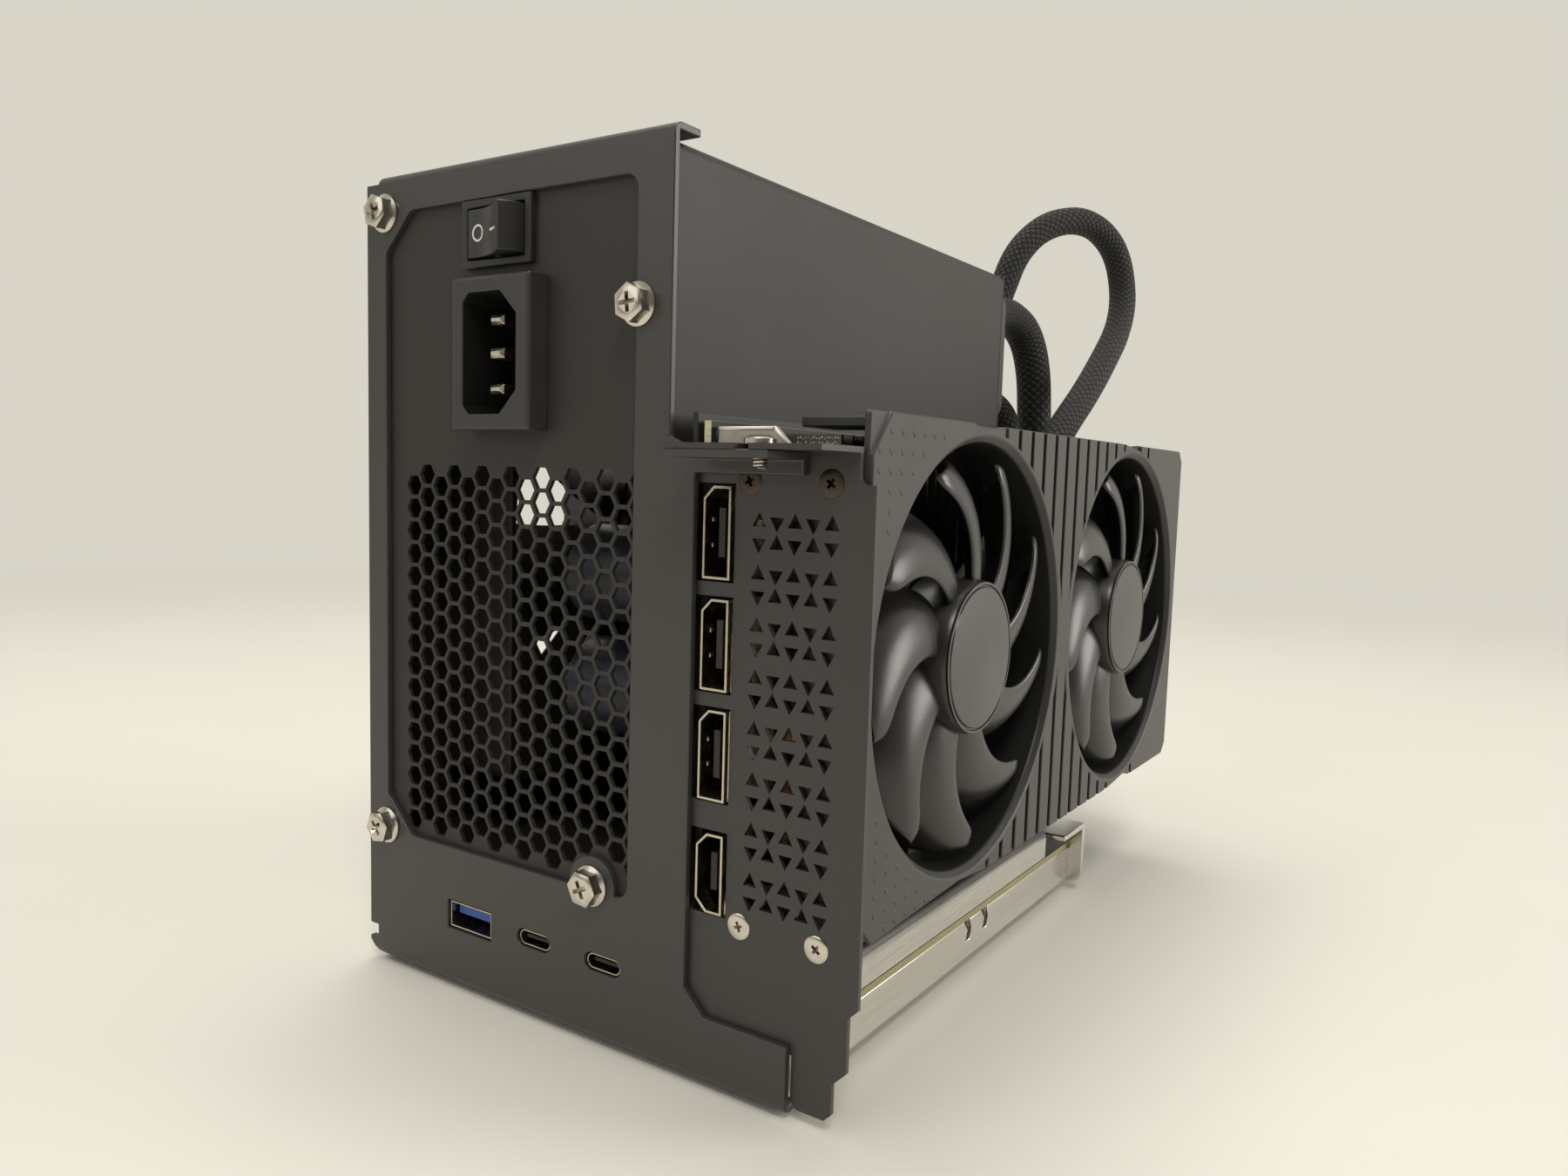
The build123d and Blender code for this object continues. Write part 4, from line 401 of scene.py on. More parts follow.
@dataclass(frozen=True)
class BoardLaminate(Finish):
    """Glass laminate: masked faces over copper tracks, with the bare weave at its cut edges."""

    flat_enough: ClassVar[float] = 0.7
    track: ClassVar[float] = 1.6
    track_run: ClassVar[float] = 5.0
    track_shades: ClassVar[Pair] = (0.75, 1.35)
    thread: ClassVar[float] = 0.3
    thread_span: ClassVar[Pair] = (0.6, 1.0)
    masked_edge: ClassVar[float] = 1.5
    depth: ClassVar[float] = 0.02
    shown: ClassVar[float] = 0.3

    edge: Colour = (0.30, 0.26, 0.12)
    masked_axis: int = 2
    bare_above: float = -1000.0

    def wire(self, board: ShaderBoard) -> None:
        """Wire the mask, the tracks under it and the cut edges."""
        level = board.math("ABSOLUTE", board.parts("Normal")[self.masked_axis])
        masked = board.math("GREATER_THAN", level, self.flat_enough)
        tracks = board.noise(self.track, (1.0, self.track_run, 1.0), detail=1.0)
        dark, light = (self.shade(factor) for factor in self.track_shades)
        mask = board.tint(board.spread(tracks, 0.0, 1.0), dark, light)
        height = board.parts("Object")["Z"]
        bare = board.math("GREATER_THAN", height, CORNER.z + self.bare_above * MM)
        threads = board.spread(board.noise(self.thread), *self.thread_span)
        weave = board.tint(board.math("MULTIPLY", bare, threads), self.shade(self.masked_edge), self.edge)
        board.link(board.mix(masked, weave, mask), "Base Color")
        self.roughen(board, tracks)
        board.relief(tracks, self.depth, self.shown)


@dataclass(frozen=True)
class BraidedSleeve(Finish):
    """Woven sleeving: two families of strands that cross round the lead."""

    haze = (0.1, -0.1)
    fibre: ClassVar[float] = 0.25
    fibre_share: ClassVar[float] = 0.35
    strand_shades: ClassVar[Pair] = (0.2, 2.6)
    depth: ClassVar[float] = 0.5
    gloss: ClassVar[float] = 0.25

    length: float = 200.0
    cell: float = 2.5
    strands: int = 12

    def wire(self, board: ShaderBoard) -> None:
        """Wire the crossing strands on the lead's own UV map."""
        run, turn, _ = board.parts("UV")
        along = board.math("MULTIPLY", run, math.pi * self.length / self.cell)
        around = board.math("MULTIPLY", turn, math.pi * self.strands)
        left = board.math("SINE", board.math("ADD", along, around))
        right = board.math("SINE", board.math("SUBTRACT", along, around))
        weave = board.math("ABSOLUTE", board.math("MULTIPLY", left, right))
        crossings = board.math("MULTIPLY", weave, 1.0 - self.fibre_share)
        fibres = board.noise(self.fibre, detail=2.0)
        blend = board.math("MULTIPLY_ADD", fibres, self.fibre_share, crossings)
        dark, light = (self.shade(factor) for factor in self.strand_shades)
        board.link(board.tint(blend, dark, light), "Base Color")
        self.roughen(board, weave)
        board.relief(blend, self.depth, 1.0)
        board.set(Specular_IOR_Level=self.gloss)


@dataclass(frozen=True)
class SoftRubber(Finish):
    """Matt rubber with dust in its pores."""

    swing = (0.8, 1.25)
    haze = (-0.05, 0.05)
    pore: ClassVar[float] = 0.5
    depth: ClassVar[float] = 0.03
    shown: ClassVar[float] = 0.4

    def wire(self, board: ShaderBoard) -> None:
        """Wire the pores."""
        pores = board.noise(self.pore)
        self.mottle(board, pores)
        self.roughen(board, pores)
        board.relief(pores, self.depth, self.shown)


@dataclass(frozen=True)
class TableTop(Finish):
    """Smooth pale table top that fades into the wall tone far from the object."""

    swing = (0.985, 1.0)
    haze = (-0.04, 0.04)
    smudge: ClassVar[float] = 90.0
    gloss: ClassVar[float] = 0.3

    wall: Colour = (0.69, 0.66, 0.58)
    fade: Pair = (0.45, 1.3)

    def wire(self, board: ShaderBoard) -> None:
        """Wire the faint smudges and the fade."""
        smudges = board.noise(self.smudge)
        self.mottle(board, smudges)
        self.roughen(board, smudges)
        board.set(Specular_IOR_Level=self.gloss)
        near, far = self.fade
        reach = board.add("VectorMath", {0: board.coords["Object"]}, operation="LENGTH")["Value"]
        span = {"Value": reach, "From Min": near, "From Max": far}
        share = board.add("MapRange", span, interpolation_type="SMOOTHSTEP")[0]
        wall = board.add("Emission", {"Color": (*self.wall, 1.0)})[0]
        faded = board.add("MixShader", {0: share, 1: board.shader.outputs[0], 2: wall})[0]
        board.tree.links.new(faded, board.tree.nodes["Material Output"].inputs["Surface"])


@dataclass(frozen=True)
class PadPrint(Finish):
    """Thin ink of a printed mark, a little uneven."""

    swing = (0.82, 1.05)
    patch: ClassVar[float] = 0.35

    def wire(self, board: ShaderBoard) -> None:
        """Wire the uneven ink."""
        patches = board.noise(self.patch)
        self.mottle(board, patches)
        self.roughen(board, patches)


PLATE_COAT = PowderCoat("plate_powder_coat", (0.040, 0.0378, 0.035), 0.42, gloss=0.62)
SUPPLY_COAT = PowderCoat("supply_powder_coat", (0.036, 0.0333, 0.0307), 0.5, pebble=0.6, gloss=0.3)
BRACKET_COAT = PowderCoat(
    "bracket_coat", (0.034, 0.032, 0.0292), 0.42, pebble=0.3, depth=0.015, gloss=0.6,
)
BACKPLATE_COAT = PowderCoat("backplate_coat", (0.026, 0.025, 0.024), 0.45, pebble=0.3, depth=0.012)
BASE_METAL = BrushedMetal("brushed_aluminium", (0.75, 0.73, 0.69), 0.2)
# painted shade on the cover's upward faces stands for the dark reflection of the shroud above
COVER_METAL = TopShadedMetal("aluminium_painted_top_shade", (0.68, 0.66, 0.62), 0.28, depth=0.015, cut=0.4)
# painted shade: fin aluminium darkened far below bare metal, standing for the shade deep in the stack
SHADED_FIN_METAL = BrushedMetal("fin_stock_painted_shade", (0.17, 0.155, 0.14), 0.32)
TAB_METAL = PlatedMetal("tab_plating", (0.46, 0.43, 0.39), 0.34)
# bright plating: the latches' and fin locks' own colour, and a painted highlight on the tab's folded rim
BRIGHT_PLATING_AND_HIGHLIGHT = PlatedMetal("bright_plating_and_highlight", (0.90, 0.86, 0.76), 0.28)
SCREW_NICKEL = PlatedMetal("screw_nickel", (0.66, 0.62, 0.54), 0.24)
# much darker than the nickel screws, set on the two high bracket screws under the ledge
SCREW_DARK = PlatedMetal("high_screw_darkened", (0.085, 0.068, 0.052), 0.36)
SOCKET_PLATE = PlatedMetal("socket_plating", (0.56, 0.50, 0.385), 0.22)
BLADE_PLATE = PlatedMetal("blade_plating", (0.74, 0.69, 0.55), 0.25)
COPPER = PlatedMetal("bare_copper", (0.72, 0.36, 0.22), 0.3)
GUARD_WIRE = PlatedMetal("guard_wire_plating", (0.60, 0.60, 0.59), 0.25)
SHROUD_SKIN = MouldedPlastic("moulded_shroud", (0.041, 0.0385, 0.0350), 0.46)
# painted shade: near-black colour for the walls of the fan openings, the shroud's grooves and the inlet's mouth
SHADE_SKIN = MouldedPlastic("painted_shade_plastic", (0.007, 0.007, 0.0068), 0.5)
# painted shade: the shroud's plastic, darker, on the bevelled rings of the fan openings
RING_SHADE_SKIN = MouldedPlastic("ring_painted_shade", (0.022, 0.021, 0.0195), 0.42, gloss=0.4)
FAN_SKIN = MouldedPlastic("moulded_fan", (0.020, 0.0188, 0.0172), 0.33, depth=0.008, gloss=0.6)
HUB_SKIN = MouldedPlastic("hub_plastic", (0.068, 0.064, 0.058), 0.42)
BLACK_SKIN = MouldedPlastic("moulded_black", (0.022, 0.0212, 0.0204), 0.45)
INLET_SKIN = MouldedPlastic("inlet_plastic", (0.038, 0.036, 0.034), 0.44)
ROCKER_SKIN = MouldedPlastic("moulded_rocker", (0.026, 0.025, 0.024), 0.34)
SOCKET_CORE = MouldedPlastic("socket_core_plastic", (0.018, 0.014, 0.010), 0.45)
BLUE_CORE = MouldedPlastic("blue_core_plastic", (0.03, 0.10, 0.42), 0.38)
CHIP_SKIN = MouldedPlastic("moulded_chip", (0.03, 0.032, 0.03), 0.5)
FERRITE = MouldedPlastic("ferrite_core", (0.05, 0.048, 0.045), 0.6)
CAN_SLEEVE = MouldedPlastic("shrunk_sleeve", (0.03, 0.03, 0.045), 0.3)
DOCK_LAMINATE = BoardLaminate("dock_laminate", (0.022, 0.030, 0.018), 0.35, edge=(0.40, 0.36, 0.16))
CARD_LAMINATE = BoardLaminate(
    "card_laminate", (0.018, 0.020, 0.018), 0.35, edge=(0.88, 0.83, 0.52), masked_axis=0, bare_above=91.0,
)
PAD_RUBBER = SoftRubber("foot_rubber", (0.030, 0.029, 0.028), 0.8)
MARK_INK = PadPrint("mark_ink", (0.78, 0.77, 0.73), 0.5)

SLOT_FINISH: dict[str, Finish] = {
    "dark_sheet": PLATE_COAT,
    "supply_sheet": SUPPLY_COAT,
    "base_aluminium": BASE_METAL,
    "nickel_screw": SCREW_NICKEL,
    "board_laminate": DOCK_LAMINATE,
    "black_plastic": BLACK_SKIN,
    "rocker_plastic": ROCKER_SKIN,
    "inlet_blade": BLADE_PLATE,
    "socket_metal": SOCKET_PLATE,
    "socket_core": SOCKET_CORE,
    "blue_core": BLUE_CORE,
    "bracket_sheet": BRACKET_COAT,
    "shroud_plastic": SHROUD_SKIN,
    "fan_plastic": FAN_SKIN,
    "guard_wire": GUARD_WIRE,
    "fin_aluminium": SHADED_FIN_METAL,
    "copper": COPPER,
    "backplate_sheet": BACKPLATE_COAT,
    "chip_package": CHIP_SKIN,
    "core_ferrite": FERRITE,
    "capacitor_sleeve": CAN_SLEEVE,
    "lead_sleeve": BLACK_SKIN,
    "pad_rubber": PAD_RUBBER,
}


def node_slots() -> dict[str, str]:
    """Material slot of each node, as the record gives it."""
    return {part["node"]: part["material_slot"] for part in frame["record"]["subparts"]}


def dress(piece: bpy.types.Object, finish: Finish) -> None:
    """Give a piece its one finish."""
    piece.data.materials.clear()
    piece.data.materials.append(finish.material())


def accent(piece: bpy.types.Object, finish: Finish, chosen: Callable[[Vector, Vector], bool]) -> None:
    """Give some faces of a dressed piece a second finish.

    Args:
        piece: The piece.
        finish: The second finish.
        chosen: Says of a face, by its middle in millimetres and its normal, whether it takes it.
    """
    piece.data.materials.append(finish.material())
    index = len(piece.data.materials) - 1
    for face in piece.data.polygons:
        if chosen((face.center - CORNER) / MM, face.normal):
            face.material_index = index


@dataclass(frozen=True)
class Recess:
    """Cross-shaped driver recess: an arm's length from the middle, half its width, and the depth."""

    reach: float
    width: float
    depth: float


class Blank:
    """Mesh under construction, in millimetres in a frame of its own."""

    seam: ClassVar[float] = 1e-4
    crown_slope: ClassVar[float] = 0.6
    recess_taper: ClassVar[float] = 0.6
    bead_steps: ClassVar[tuple[int, int]] = (6, 4)

    def __init__(self) -> None:
        """Start an empty mesh."""
        self.mesh = bmesh.new()

    def turn(self, outline: Sequence[Pair], steps: int = 48) -> None:
        """Spin an outline round Z.

        Args:
            outline: Radius and height of each point, in order.
            steps: Number of steps in the full turn.
        """
        corners = [self.mesh.verts.new((radius, 0.0, height)) for radius, height in outline]
        runs = [self.mesh.edges.new(pair) for pair in zip(corners, corners[1:])]
        bmesh.ops.spin(
            self.mesh, geom=corners + runs, cent=(0, 0, 0), axis=(0, 0, 1), dvec=(0, 0, 0),
            angle=math.tau, steps=steps, use_merge=True,
        )
        self.merge()

    def bar(self, size: Point, ease: float) -> None:
        """Add a bar with eased edges round the origin.

        Args:
            size: Its lengths along X, Y and Z.
            ease: Size of the eased edge.
        """
        cube = bmesh.ops.create_cube(self.mesh, size=1.0, matrix=Matrix.Diagonal((*size, 1.0)))
        edges = list({edge for corner in cube["verts"] for edge in corner.link_edges})
        bmesh.ops.bevel(
            self.mesh, geom=edges, offset=ease, segments=EASE_STEPS, profile=0.5,
            affect="EDGES", material=-1,
        )

    def bead(self) -> None:
        """Add a plain bead of diameter 1 round the origin, for detail that is repeated many times."""
        round_steps, rise_steps = self.bead_steps
        bmesh.ops.create_uvsphere(self.mesh, u_segments=round_steps, v_segments=rise_steps, radius=0.5)

    def prism(self, radius: float, sides: int, low: float, high: float, ease: float) -> bmesh.types.BMFace:
        """Add a regular prism with an eased top.

        Args:
            radius: Distance from its axis to its corners.
            sides: Number of sides.
            low: Height of its underside.
            high: Height of its top.
            ease: Size of the eased top edge.

        Returns:
            The top face inside the eased edge.
        """
        made = bmesh.ops.create_circle(
            self.mesh, cap_ends=True, segments=sides, radius=radius,
            matrix=Matrix.Translation((0, 0, low)),
        )
        foot = made["verts"][0].link_faces[0]
        raised = bmesh.ops.extrude_face_region(self.mesh, geom=[foot])["geom"]
        crown = [item for item in raised if isinstance(item, bmesh.types.BMVert)]
        bmesh.ops.translate(self.mesh, vec=(0, 0, high - low), verts=crown)
        top = next(item for item in raised if isinstance(item, bmesh.types.BMFace))
        rise = ease * self.crown_slope
        bmesh.ops.inset_region(self.mesh, faces=[top], thickness=ease, depth=rise, use_even_offset=True)
        return top

    def cross(self, top: bmesh.types.BMFace, recess: Recess) -> None:
        """Sink a driver recess into a flat top.

        Args:
            top: Face that the recess opens in.
            recess: Its size.
        """
        reach, width = recess.reach, recess.width
        height = top.verts[0].co.z
        rim = list(top.edges)
        bmesh.ops.delete(self.mesh, geom=[top], context="FACES_ONLY")
        arm = [Vector((x, y, height)) for x, y in ((reach, -width), (reach, width), (width, width))]
        outline = bmesh.ops.create_circle(self.mesh, segments=4 * len(arm), radius=1.0)["verts"]
        for index, vert in enumerate(outline):
            quarter, corner = divmod(index, len(arm))
            vert.co = Matrix.Rotation(math.pi / 2 * quarter, 3, "Z") @ arm[corner]
        mouth = list({edge for vert in outline for edge in vert.link_edges})
        bmesh.ops.triangle_fill(self.mesh, edges=rim + mouth, use_beauty=True, normal=(0, 0, 1))
        walls = bmesh.ops.extrude_edge_only(self.mesh, edges=mouth)["geom"]
        foot = [item for item in walls if isinstance(item, bmesh.types.BMVert)]
        bmesh.ops.translate(self.mesh, vec=(0, 0, -recess.depth), verts=foot)
        bmesh.ops.scale(self.mesh, vec=(self.recess_taper, self.recess_taper, 1.0), verts=foot)
        sole = [item for item in walls if isinstance(item, bmesh.types.BMEdge)]
        bmesh.ops.contextual_create(self.mesh, geom=sole)

    def merge(self) -> None:
        """Close the seams and poles, and turn every face outwards."""
        bmesh.ops.remove_doubles(self.mesh, verts=self.mesh.verts, dist=self.seam)
        bmesh.ops.recalc_face_normals(self.mesh, faces=self.mesh.faces)


class Piece:
    """Finished piece of the scene, gathered from blanks set in their places."""

    def __init__(self, name: str) -> None:
        """Start a piece of that name with no mesh."""
        self.name = name
        self.mesh = bmesh.new()

    def add(self, blank: Blank, place: Matrix) -> None:
        """Set a copy of a blank in its place.

        Args:
            blank: What is set.
            place: Matrix from the blank's millimetres to the scene.
        """
        copy = bpy.data.meshes.new("copy")
        blank.mesh.to_mesh(copy)
        copy.transform(place)
        self.mesh.from_mesh(copy)
        bpy.data.meshes.remove(copy)

    def make(self, finish: Finish, body: str, sharp: float = 35.0) -> bpy.types.Object:
        """Make the scene's object.

        Args:
            finish: Its finish.
            body: Body that it rides on.
            sharp: Angle in degrees above which an edge stays sharp.

        Returns:
            The object.
        """
        mesh = bpy.data.meshes.new(self.name)
        self.mesh.to_mesh(mesh)
        self.mesh.free()
        mesh.shade_smooth()
        mesh.set_sharp_from_angle(angle=math.radians(sharp))
        return install(mesh, finish, body)


def install(mesh: bpy.types.Mesh, finish: Finish, body: str) -> bpy.types.Object:
    """Put a mesh into the scene as a dressed piece that rides on a body.

    Args:
        mesh: The mesh, in its place.
        finish: Its finish.
        body: Body that it rides on.

    Returns:
        The object.
    """
    piece = new_object(mesh)
    dress(piece, finish)
    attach(piece, body)
    log.info("%s: %d faces on %s", piece.name, len(mesh.polygons), body)
    return piece


def eased_copy(node: str, ease: float, finish: Finish) -> None:
    """Copy of a node's solid whose sharp edges are eased, which stands for the node.

    Args:
        node: The node.
        ease: Size of the eased edge, in millimetres.
        finish: Its finish.
    """
    work = bmesh.new()
    work.from_mesh(frame["nodes"][node].data)
    bmesh.ops.remove_doubles(work, verts=work.verts, dist=SOLID_SEAM)
    bmesh.ops.dissolve_limit(
        work, angle_limit=math.radians(FLAT_ANGLE), use_dissolve_boundaries=False,
        verts=work.verts, edges=work.edges,
    )
    mesh = bpy.data.meshes.new(f"{node}_eased")
    work.to_mesh(mesh)
    work.free()
    if mesh.attributes.get("custom_normal"):
        mesh.attributes.remove(mesh.attributes["custom_normal"])
    mesh.shade_smooth()
    piece = install(mesh, finish, NODE_BODY[node])
    edge = piece.modifiers.new("eased_edges", "BEVEL")
    edge.width = ease * MM
    edge.segments = EASE_STEPS
    edge.limit_method = "ANGLE"
    edge.angle_limit = math.radians(EASED_ANGLE)
    edge.use_clamp_overlap = False
    edge.loop_slide = False
    edge.harden_normals = True
    flats = piece.modifiers.new("flat_faces", "WEIGHTED_NORMAL")
    flats.keep_sharp = True
    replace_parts(piece, node)


class Assembly(ABC):
    """Sub-assembly of the enclosure, with the nodes that it dresses with eased edges."""

    eased: ClassVar[dict[str, tuple[float, Finish]]] = {}

    def ease(self) -> None:
        """Replace the listed nodes by copies with eased edges."""
        for node, (size, finish) in self.eased.items():
            eased_copy(node, size, finish)

    @abstractmethod
    def build(self) -> None:
        """Make the sub-assembly's own pieces."""


@dataclass
class PhotoCamera:
    """Camera of the photograph, fitted to the plate's screws, edges and fan rings."""

    stand: Point = (222.175, -162.439, 88.164)
    azimuth: float = 33.575
    elevation: float = 5.466
    roll: float = 1.705
    focal_pixels: float = 1293.672
    image_width: float = 1800.0
    sensor: float = 36.0
    near_clip: float = 0.005

    def build(self) -> None:
        """Make the camera and give it to the scene."""
        data = bpy.data.cameras.new("photo_camera")
        data.sensor_fit = "HORIZONTAL"
        data.sensor_width = self.sensor
        data.lens = self.focal_pixels / self.image_width * self.sensor
        data.clip_start = self.near_clip
        camera = new_object(data)
        pitch = Matrix.Rotation(math.radians(90.0 - self.elevation), 4, "X")
        yaw = Matrix.Rotation(math.radians(self.azimuth), 4, "Z")
        lean = Matrix.Rotation(math.radians(self.roll), 4, "Z")
        camera.matrix_world = Matrix.Translation(spot(*self.stand)) @ yaw @ pitch @ lean
        bpy.context.scene.camera = camera


@dataclass(frozen=True)
class Lamp:
    """Square soft lamp that points at the object: place and side in metres, power in watts."""

    colour: ClassVar[Colour] = (1.0, 0.97, 0.92)
    target: ClassVar[Point] = (0.0, 0.0, 0.1)

    name: str
    place: Point
    size: float
    power: float

    def hang(self) -> None:
        """Hang the lamp in its place."""
        data = bpy.data.lights.new(self.name, "AREA")
        data.shape = "SQUARE"
        data.size = self.size
        data.energy = self.power
        data.color = self.colour
        lamp = new_object(data)
        aim = (Vector(self.target) - Vector(self.place)).to_track_quat("-Z", "Y")
        lamp.matrix_world = Matrix.Translation(self.place) @ aim.to_matrix().to_4x4()


@dataclass
class Studio:
    """Pale floor, pale surroundings and large soft lamps."""

    floor_reach: float = 6.0
    floor_steps: int = 8
    floor_colour: Colour = (0.84, 0.81, 0.73)
    floor_roughness: float = 0.6
    wall_colour: Colour = (0.69, 0.66, 0.58)
    light_colour: Colour = (1.0, 0.985, 0.95)
    ambient: float = 0.26
    front_share: float = 0.15
    bright_side: Point = (-0.5, 0.866, 0.0)
    dim_span: Pair = (-0.6, 0.45)
    lamps: Sequence[Lamp] = (
        Lamp("overhead", (-0.3, 0.1, 1.7), 0.9, 15.0),
        Lamp("ceiling_front", (0.65, -0.75, 1.35), 0.45, 8.5),
        Lamp("fan_side", (2.4, 1.7, 0.85), 1.4, 44.0),
        Lamp("near_left", (-0.7, -1.4, 0.8), 1.0, 4.0),
    )

    def build(self) -> None:
        """Make the floor, the world and the lamps."""
        bpy.context.scene.view_settings.view_transform = "Standard"
        self.lay_floor()
        self.set_world()
        for lamp in self.lamps:
            lamp.hang()

    def lay_floor(self) -> None:
        """Lay the floor under the object."""
        work = bmesh.new()
        steps = self.floor_steps
        bmesh.ops.create_grid(work, x_segments=steps, y_segments=steps, size=self.floor_reach / 2)
        mesh = bpy.data.meshes.new("studio_floor")
        work.to_mesh(mesh)
        work.free()
        floor = new_object(mesh)
        dress(floor, TableTop("studio_floor", self.floor_colour, self.floor_roughness, self.wall_colour))

    def set_world(self) -> None:
        """Show the camera the pale wall, show gloss a room that dims away from it, and light the rest."""
        world = bpy.data.worlds.new("studio_world")
        world.use_nodes = True
        bpy.context.scene.world = world
        tree = world.node_tree
        wall = tree.nodes["Background"]
        wall.inputs["Color"].default_value = (*self.wall_colour, 1.0)
        light = wired(tree, "Background", {"Color": (*self.light_colour, 1.0), "Strength": self.ambient})
        sides = {0: wired(tree, "TexCoord")["Generated"], 1: self.bright_side}
        behind = wired(tree, "VectorMath", sides, operation="DOT_PRODUCT")["Value"]
        low, high = self.dim_span
        span = {"Value": behind, "From Min": low, "From Max": high, "To Min": self.front_share}
        dim = wired(tree, "MapRange", span, interpolation_type="SMOOTHSTEP")[0]
        room = wired(tree, "Background", {"Color": (*self.wall_colour, 1.0), "Strength": dim})
        path = wired(tree, "LightPath")
        rays = {0: path["Is Camera Ray"], 1: path["Is Transmission Ray"]}
        direct = wired(tree, "Math", rays, operation="MAXIMUM")[0]
        lit = wired(tree, "MixShader", {0: path["Is Glossy Ray"], 1: light[0], 2: room[0]})[0]
        seen = wired(tree, "MixShader", {0: direct, 1: lit, 2: wall.outputs[0]})[0]
        tree.links.new(seen, tree.nodes["World Output"].inputs["Surface"])


@dataclass
class SleevedLead:
    """Braided lead from the power supply's gland to its plug."""

    colour: ClassVar[Colour] = (0.020, 0.0195, 0.0182)
    roughness: ClassVar[float] = 0.6
    round_steps: ClassVar[int] = 6
    run_steps: ClassVar[int] = 10
    curve_order: ClassVar[int] = 3

    name: str
    plug: str
    diameter: float
    length: float
    route: Sequence[Point]

    def build(self) -> None:
        """Lay the lead along its route, dress it and let it ride on its body."""
        data = bpy.data.curves.new(f"{self.name}_sleeve", "CURVE")
        data.dimensions = "3D"
        data.bevel_depth = self.diameter * MM / 2
        data.bevel_resolution = self.round_steps
        data.resolution_u = self.run_steps
        data.use_fill_caps = True
        spline = data.splines.new("NURBS")
        spline.points.add(len(self.route) - 1)
        for point, place in zip(spline.points, self.route):
            point.co = (*spot(*place), 1.0)
        spline.order_u = self.curve_order
        spline.use_endpoint_u = True
        piece = new_object(data)
        dress(piece, BraidedSleeve(f"{self.name}_braid", self.colour, self.roughness, self.length))
        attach(piece, NODE_BODY[self.name])
        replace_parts(piece, self.name)
        log.info("%s: %d route points", piece.name, len(self.route))


CARD_LEAD = SleevedLead("card_lead", "card_plug", 9.0, 242.7, (
    (60.5, 160.5, 126.0), (60.5, 170.5, 126.0), (61.5, 182.0, 129.5), (64.5, 191.5, 139.0),
    (67.5, 196.3, 152.5), (70.5, 201.0, 167.0), (77.0, 211.5, 177.5), (85.0, 227.5, 181.0),
    (91.5, 239.5, 173.0), (94.5, 242.0, 157.0), (97.0, 230.0, 143.0), (99.0, 210.0, 130.5),
    (100.3, 190.0, 118.0), (100.4, 172.5, 107.5), (100.1, 161.0, 98.5), (100.1, 161.0, 85.0),
))
MAIN_LEAD = SleevedLead("main_lead", "main_plug", 11.0, 206.2, (
    (76.0, 160.5, 139.5), (76.2, 168.5, 140.8), (78.2, 177.8, 142.2), (80.8, 186.5, 137.5),
    (82.4, 191.3, 126.0), (82.5, 193.4, 109.5), (82.6, 197.0, 89.0), (82.2, 202.0, 65.0),
    (79.5, 208.0, 43.0), (73.5, 212.5, 23.0), (66.0, 213.5, 7.5), (57.0, 210.5, -3.5),
    (49.3, 204.0, -8.0), (44.0, 195.0, -7.85), (44.0, 184.0, -7.85),
))
AUX_LEAD = SleevedLead("aux_lead", "aux_plug", 9.0, 155.7, (
    (66.0, 160.5, 114.0), (66.6, 168.0, 114.9), (70.6, 176.0, 116.6), (76.6, 181.8, 111.8),
    (79.0, 184.0, 98.5), (79.6, 186.0, 83.5), (80.1, 188.6, 68.5), (81.2, 192.6, 45.0),
    (82.8, 198.5, 22.5), (83.6, 202.0, 11.0), (83.8, 203.0, 3.1), (83.4, 199.0, -3.8),
    (83.0, 192.0, -7.85), (83.0, 184.0, -7.85),
))


@dataclass
class FlangeScrew:
    """Hexagon flange screw with a cross recess."""

    apothem: float = 3.2
    flange_radius: float = 4.15
    flange_height: float = 0.8
    head_height: float = 3.4
    shank_radius: float = 1.75
    shank_length: float = 3.0
    recess: Recess = Recess(1.9, 0.45, 1.5)
    sides: int = 6
    crown_ease: float = 0.55
    foot_share: float = 0.5
    rim_ease: Pair = (0.1, 0.12)
    rim_share: float = 0.55
    cone_top: Pair = (0.98, 0.15)

    def blank(self) -> Blank:
        """Turn the flange, raise the head and sink its recess.

        Returns:
            The screw, with the underside of its flange at height 0.
        """
        blank = Blank()
        shank, rim = self.shank_radius, self.flange_radius
        cone_share, cone_rise = self.cone_top
        blank.turn((
            (0.0, -self.shank_length), (shank, -self.shank_length), (shank, 0.0),
            (rim - self.rim_ease[0], 0.0), (rim, self.rim_ease[1]),
            (rim, self.flange_height * self.rim_share),
            (self.apothem * cone_share, self.flange_height + cone_rise),
        ))
        corner_radius = self.apothem / math.cos(math.pi / self.sides)
        foot = self.flange_height * self.foot_share
        crown = self.head_height - self.crown_ease * blank.crown_slope
        top = blank.prism(corner_radius, self.sides, foot, crown, self.crown_ease)
        blank.cross(top, self.recess)
        bmesh.ops.recalc_face_normals(blank.mesh, faces=blank.mesh.faces)
        return blank


@dataclass
class FlushScrew:
    """Small countersunk screw with a cross recess, flush with the sheet."""

    radius: float = 2.5
    rise: float = 0.25
    depth: float = 2.0
    recess: Recess = Recess(0.98, 0.3, 1.1)
    sides: int = 32

    def blank(self) -> Blank:
        """Raise the head and sink its recess.

        Returns:
            The screw, with its rim at height 0.
        """
        blank = Blank()
        top = blank.prism(self.radius, self.sides, -self.depth, 0.0, self.rise)
        blank.cross(top, self.recess)
        bmesh.ops.recalc_face_normals(blank.mesh, faces=blank.mesh.faces)
        return blank


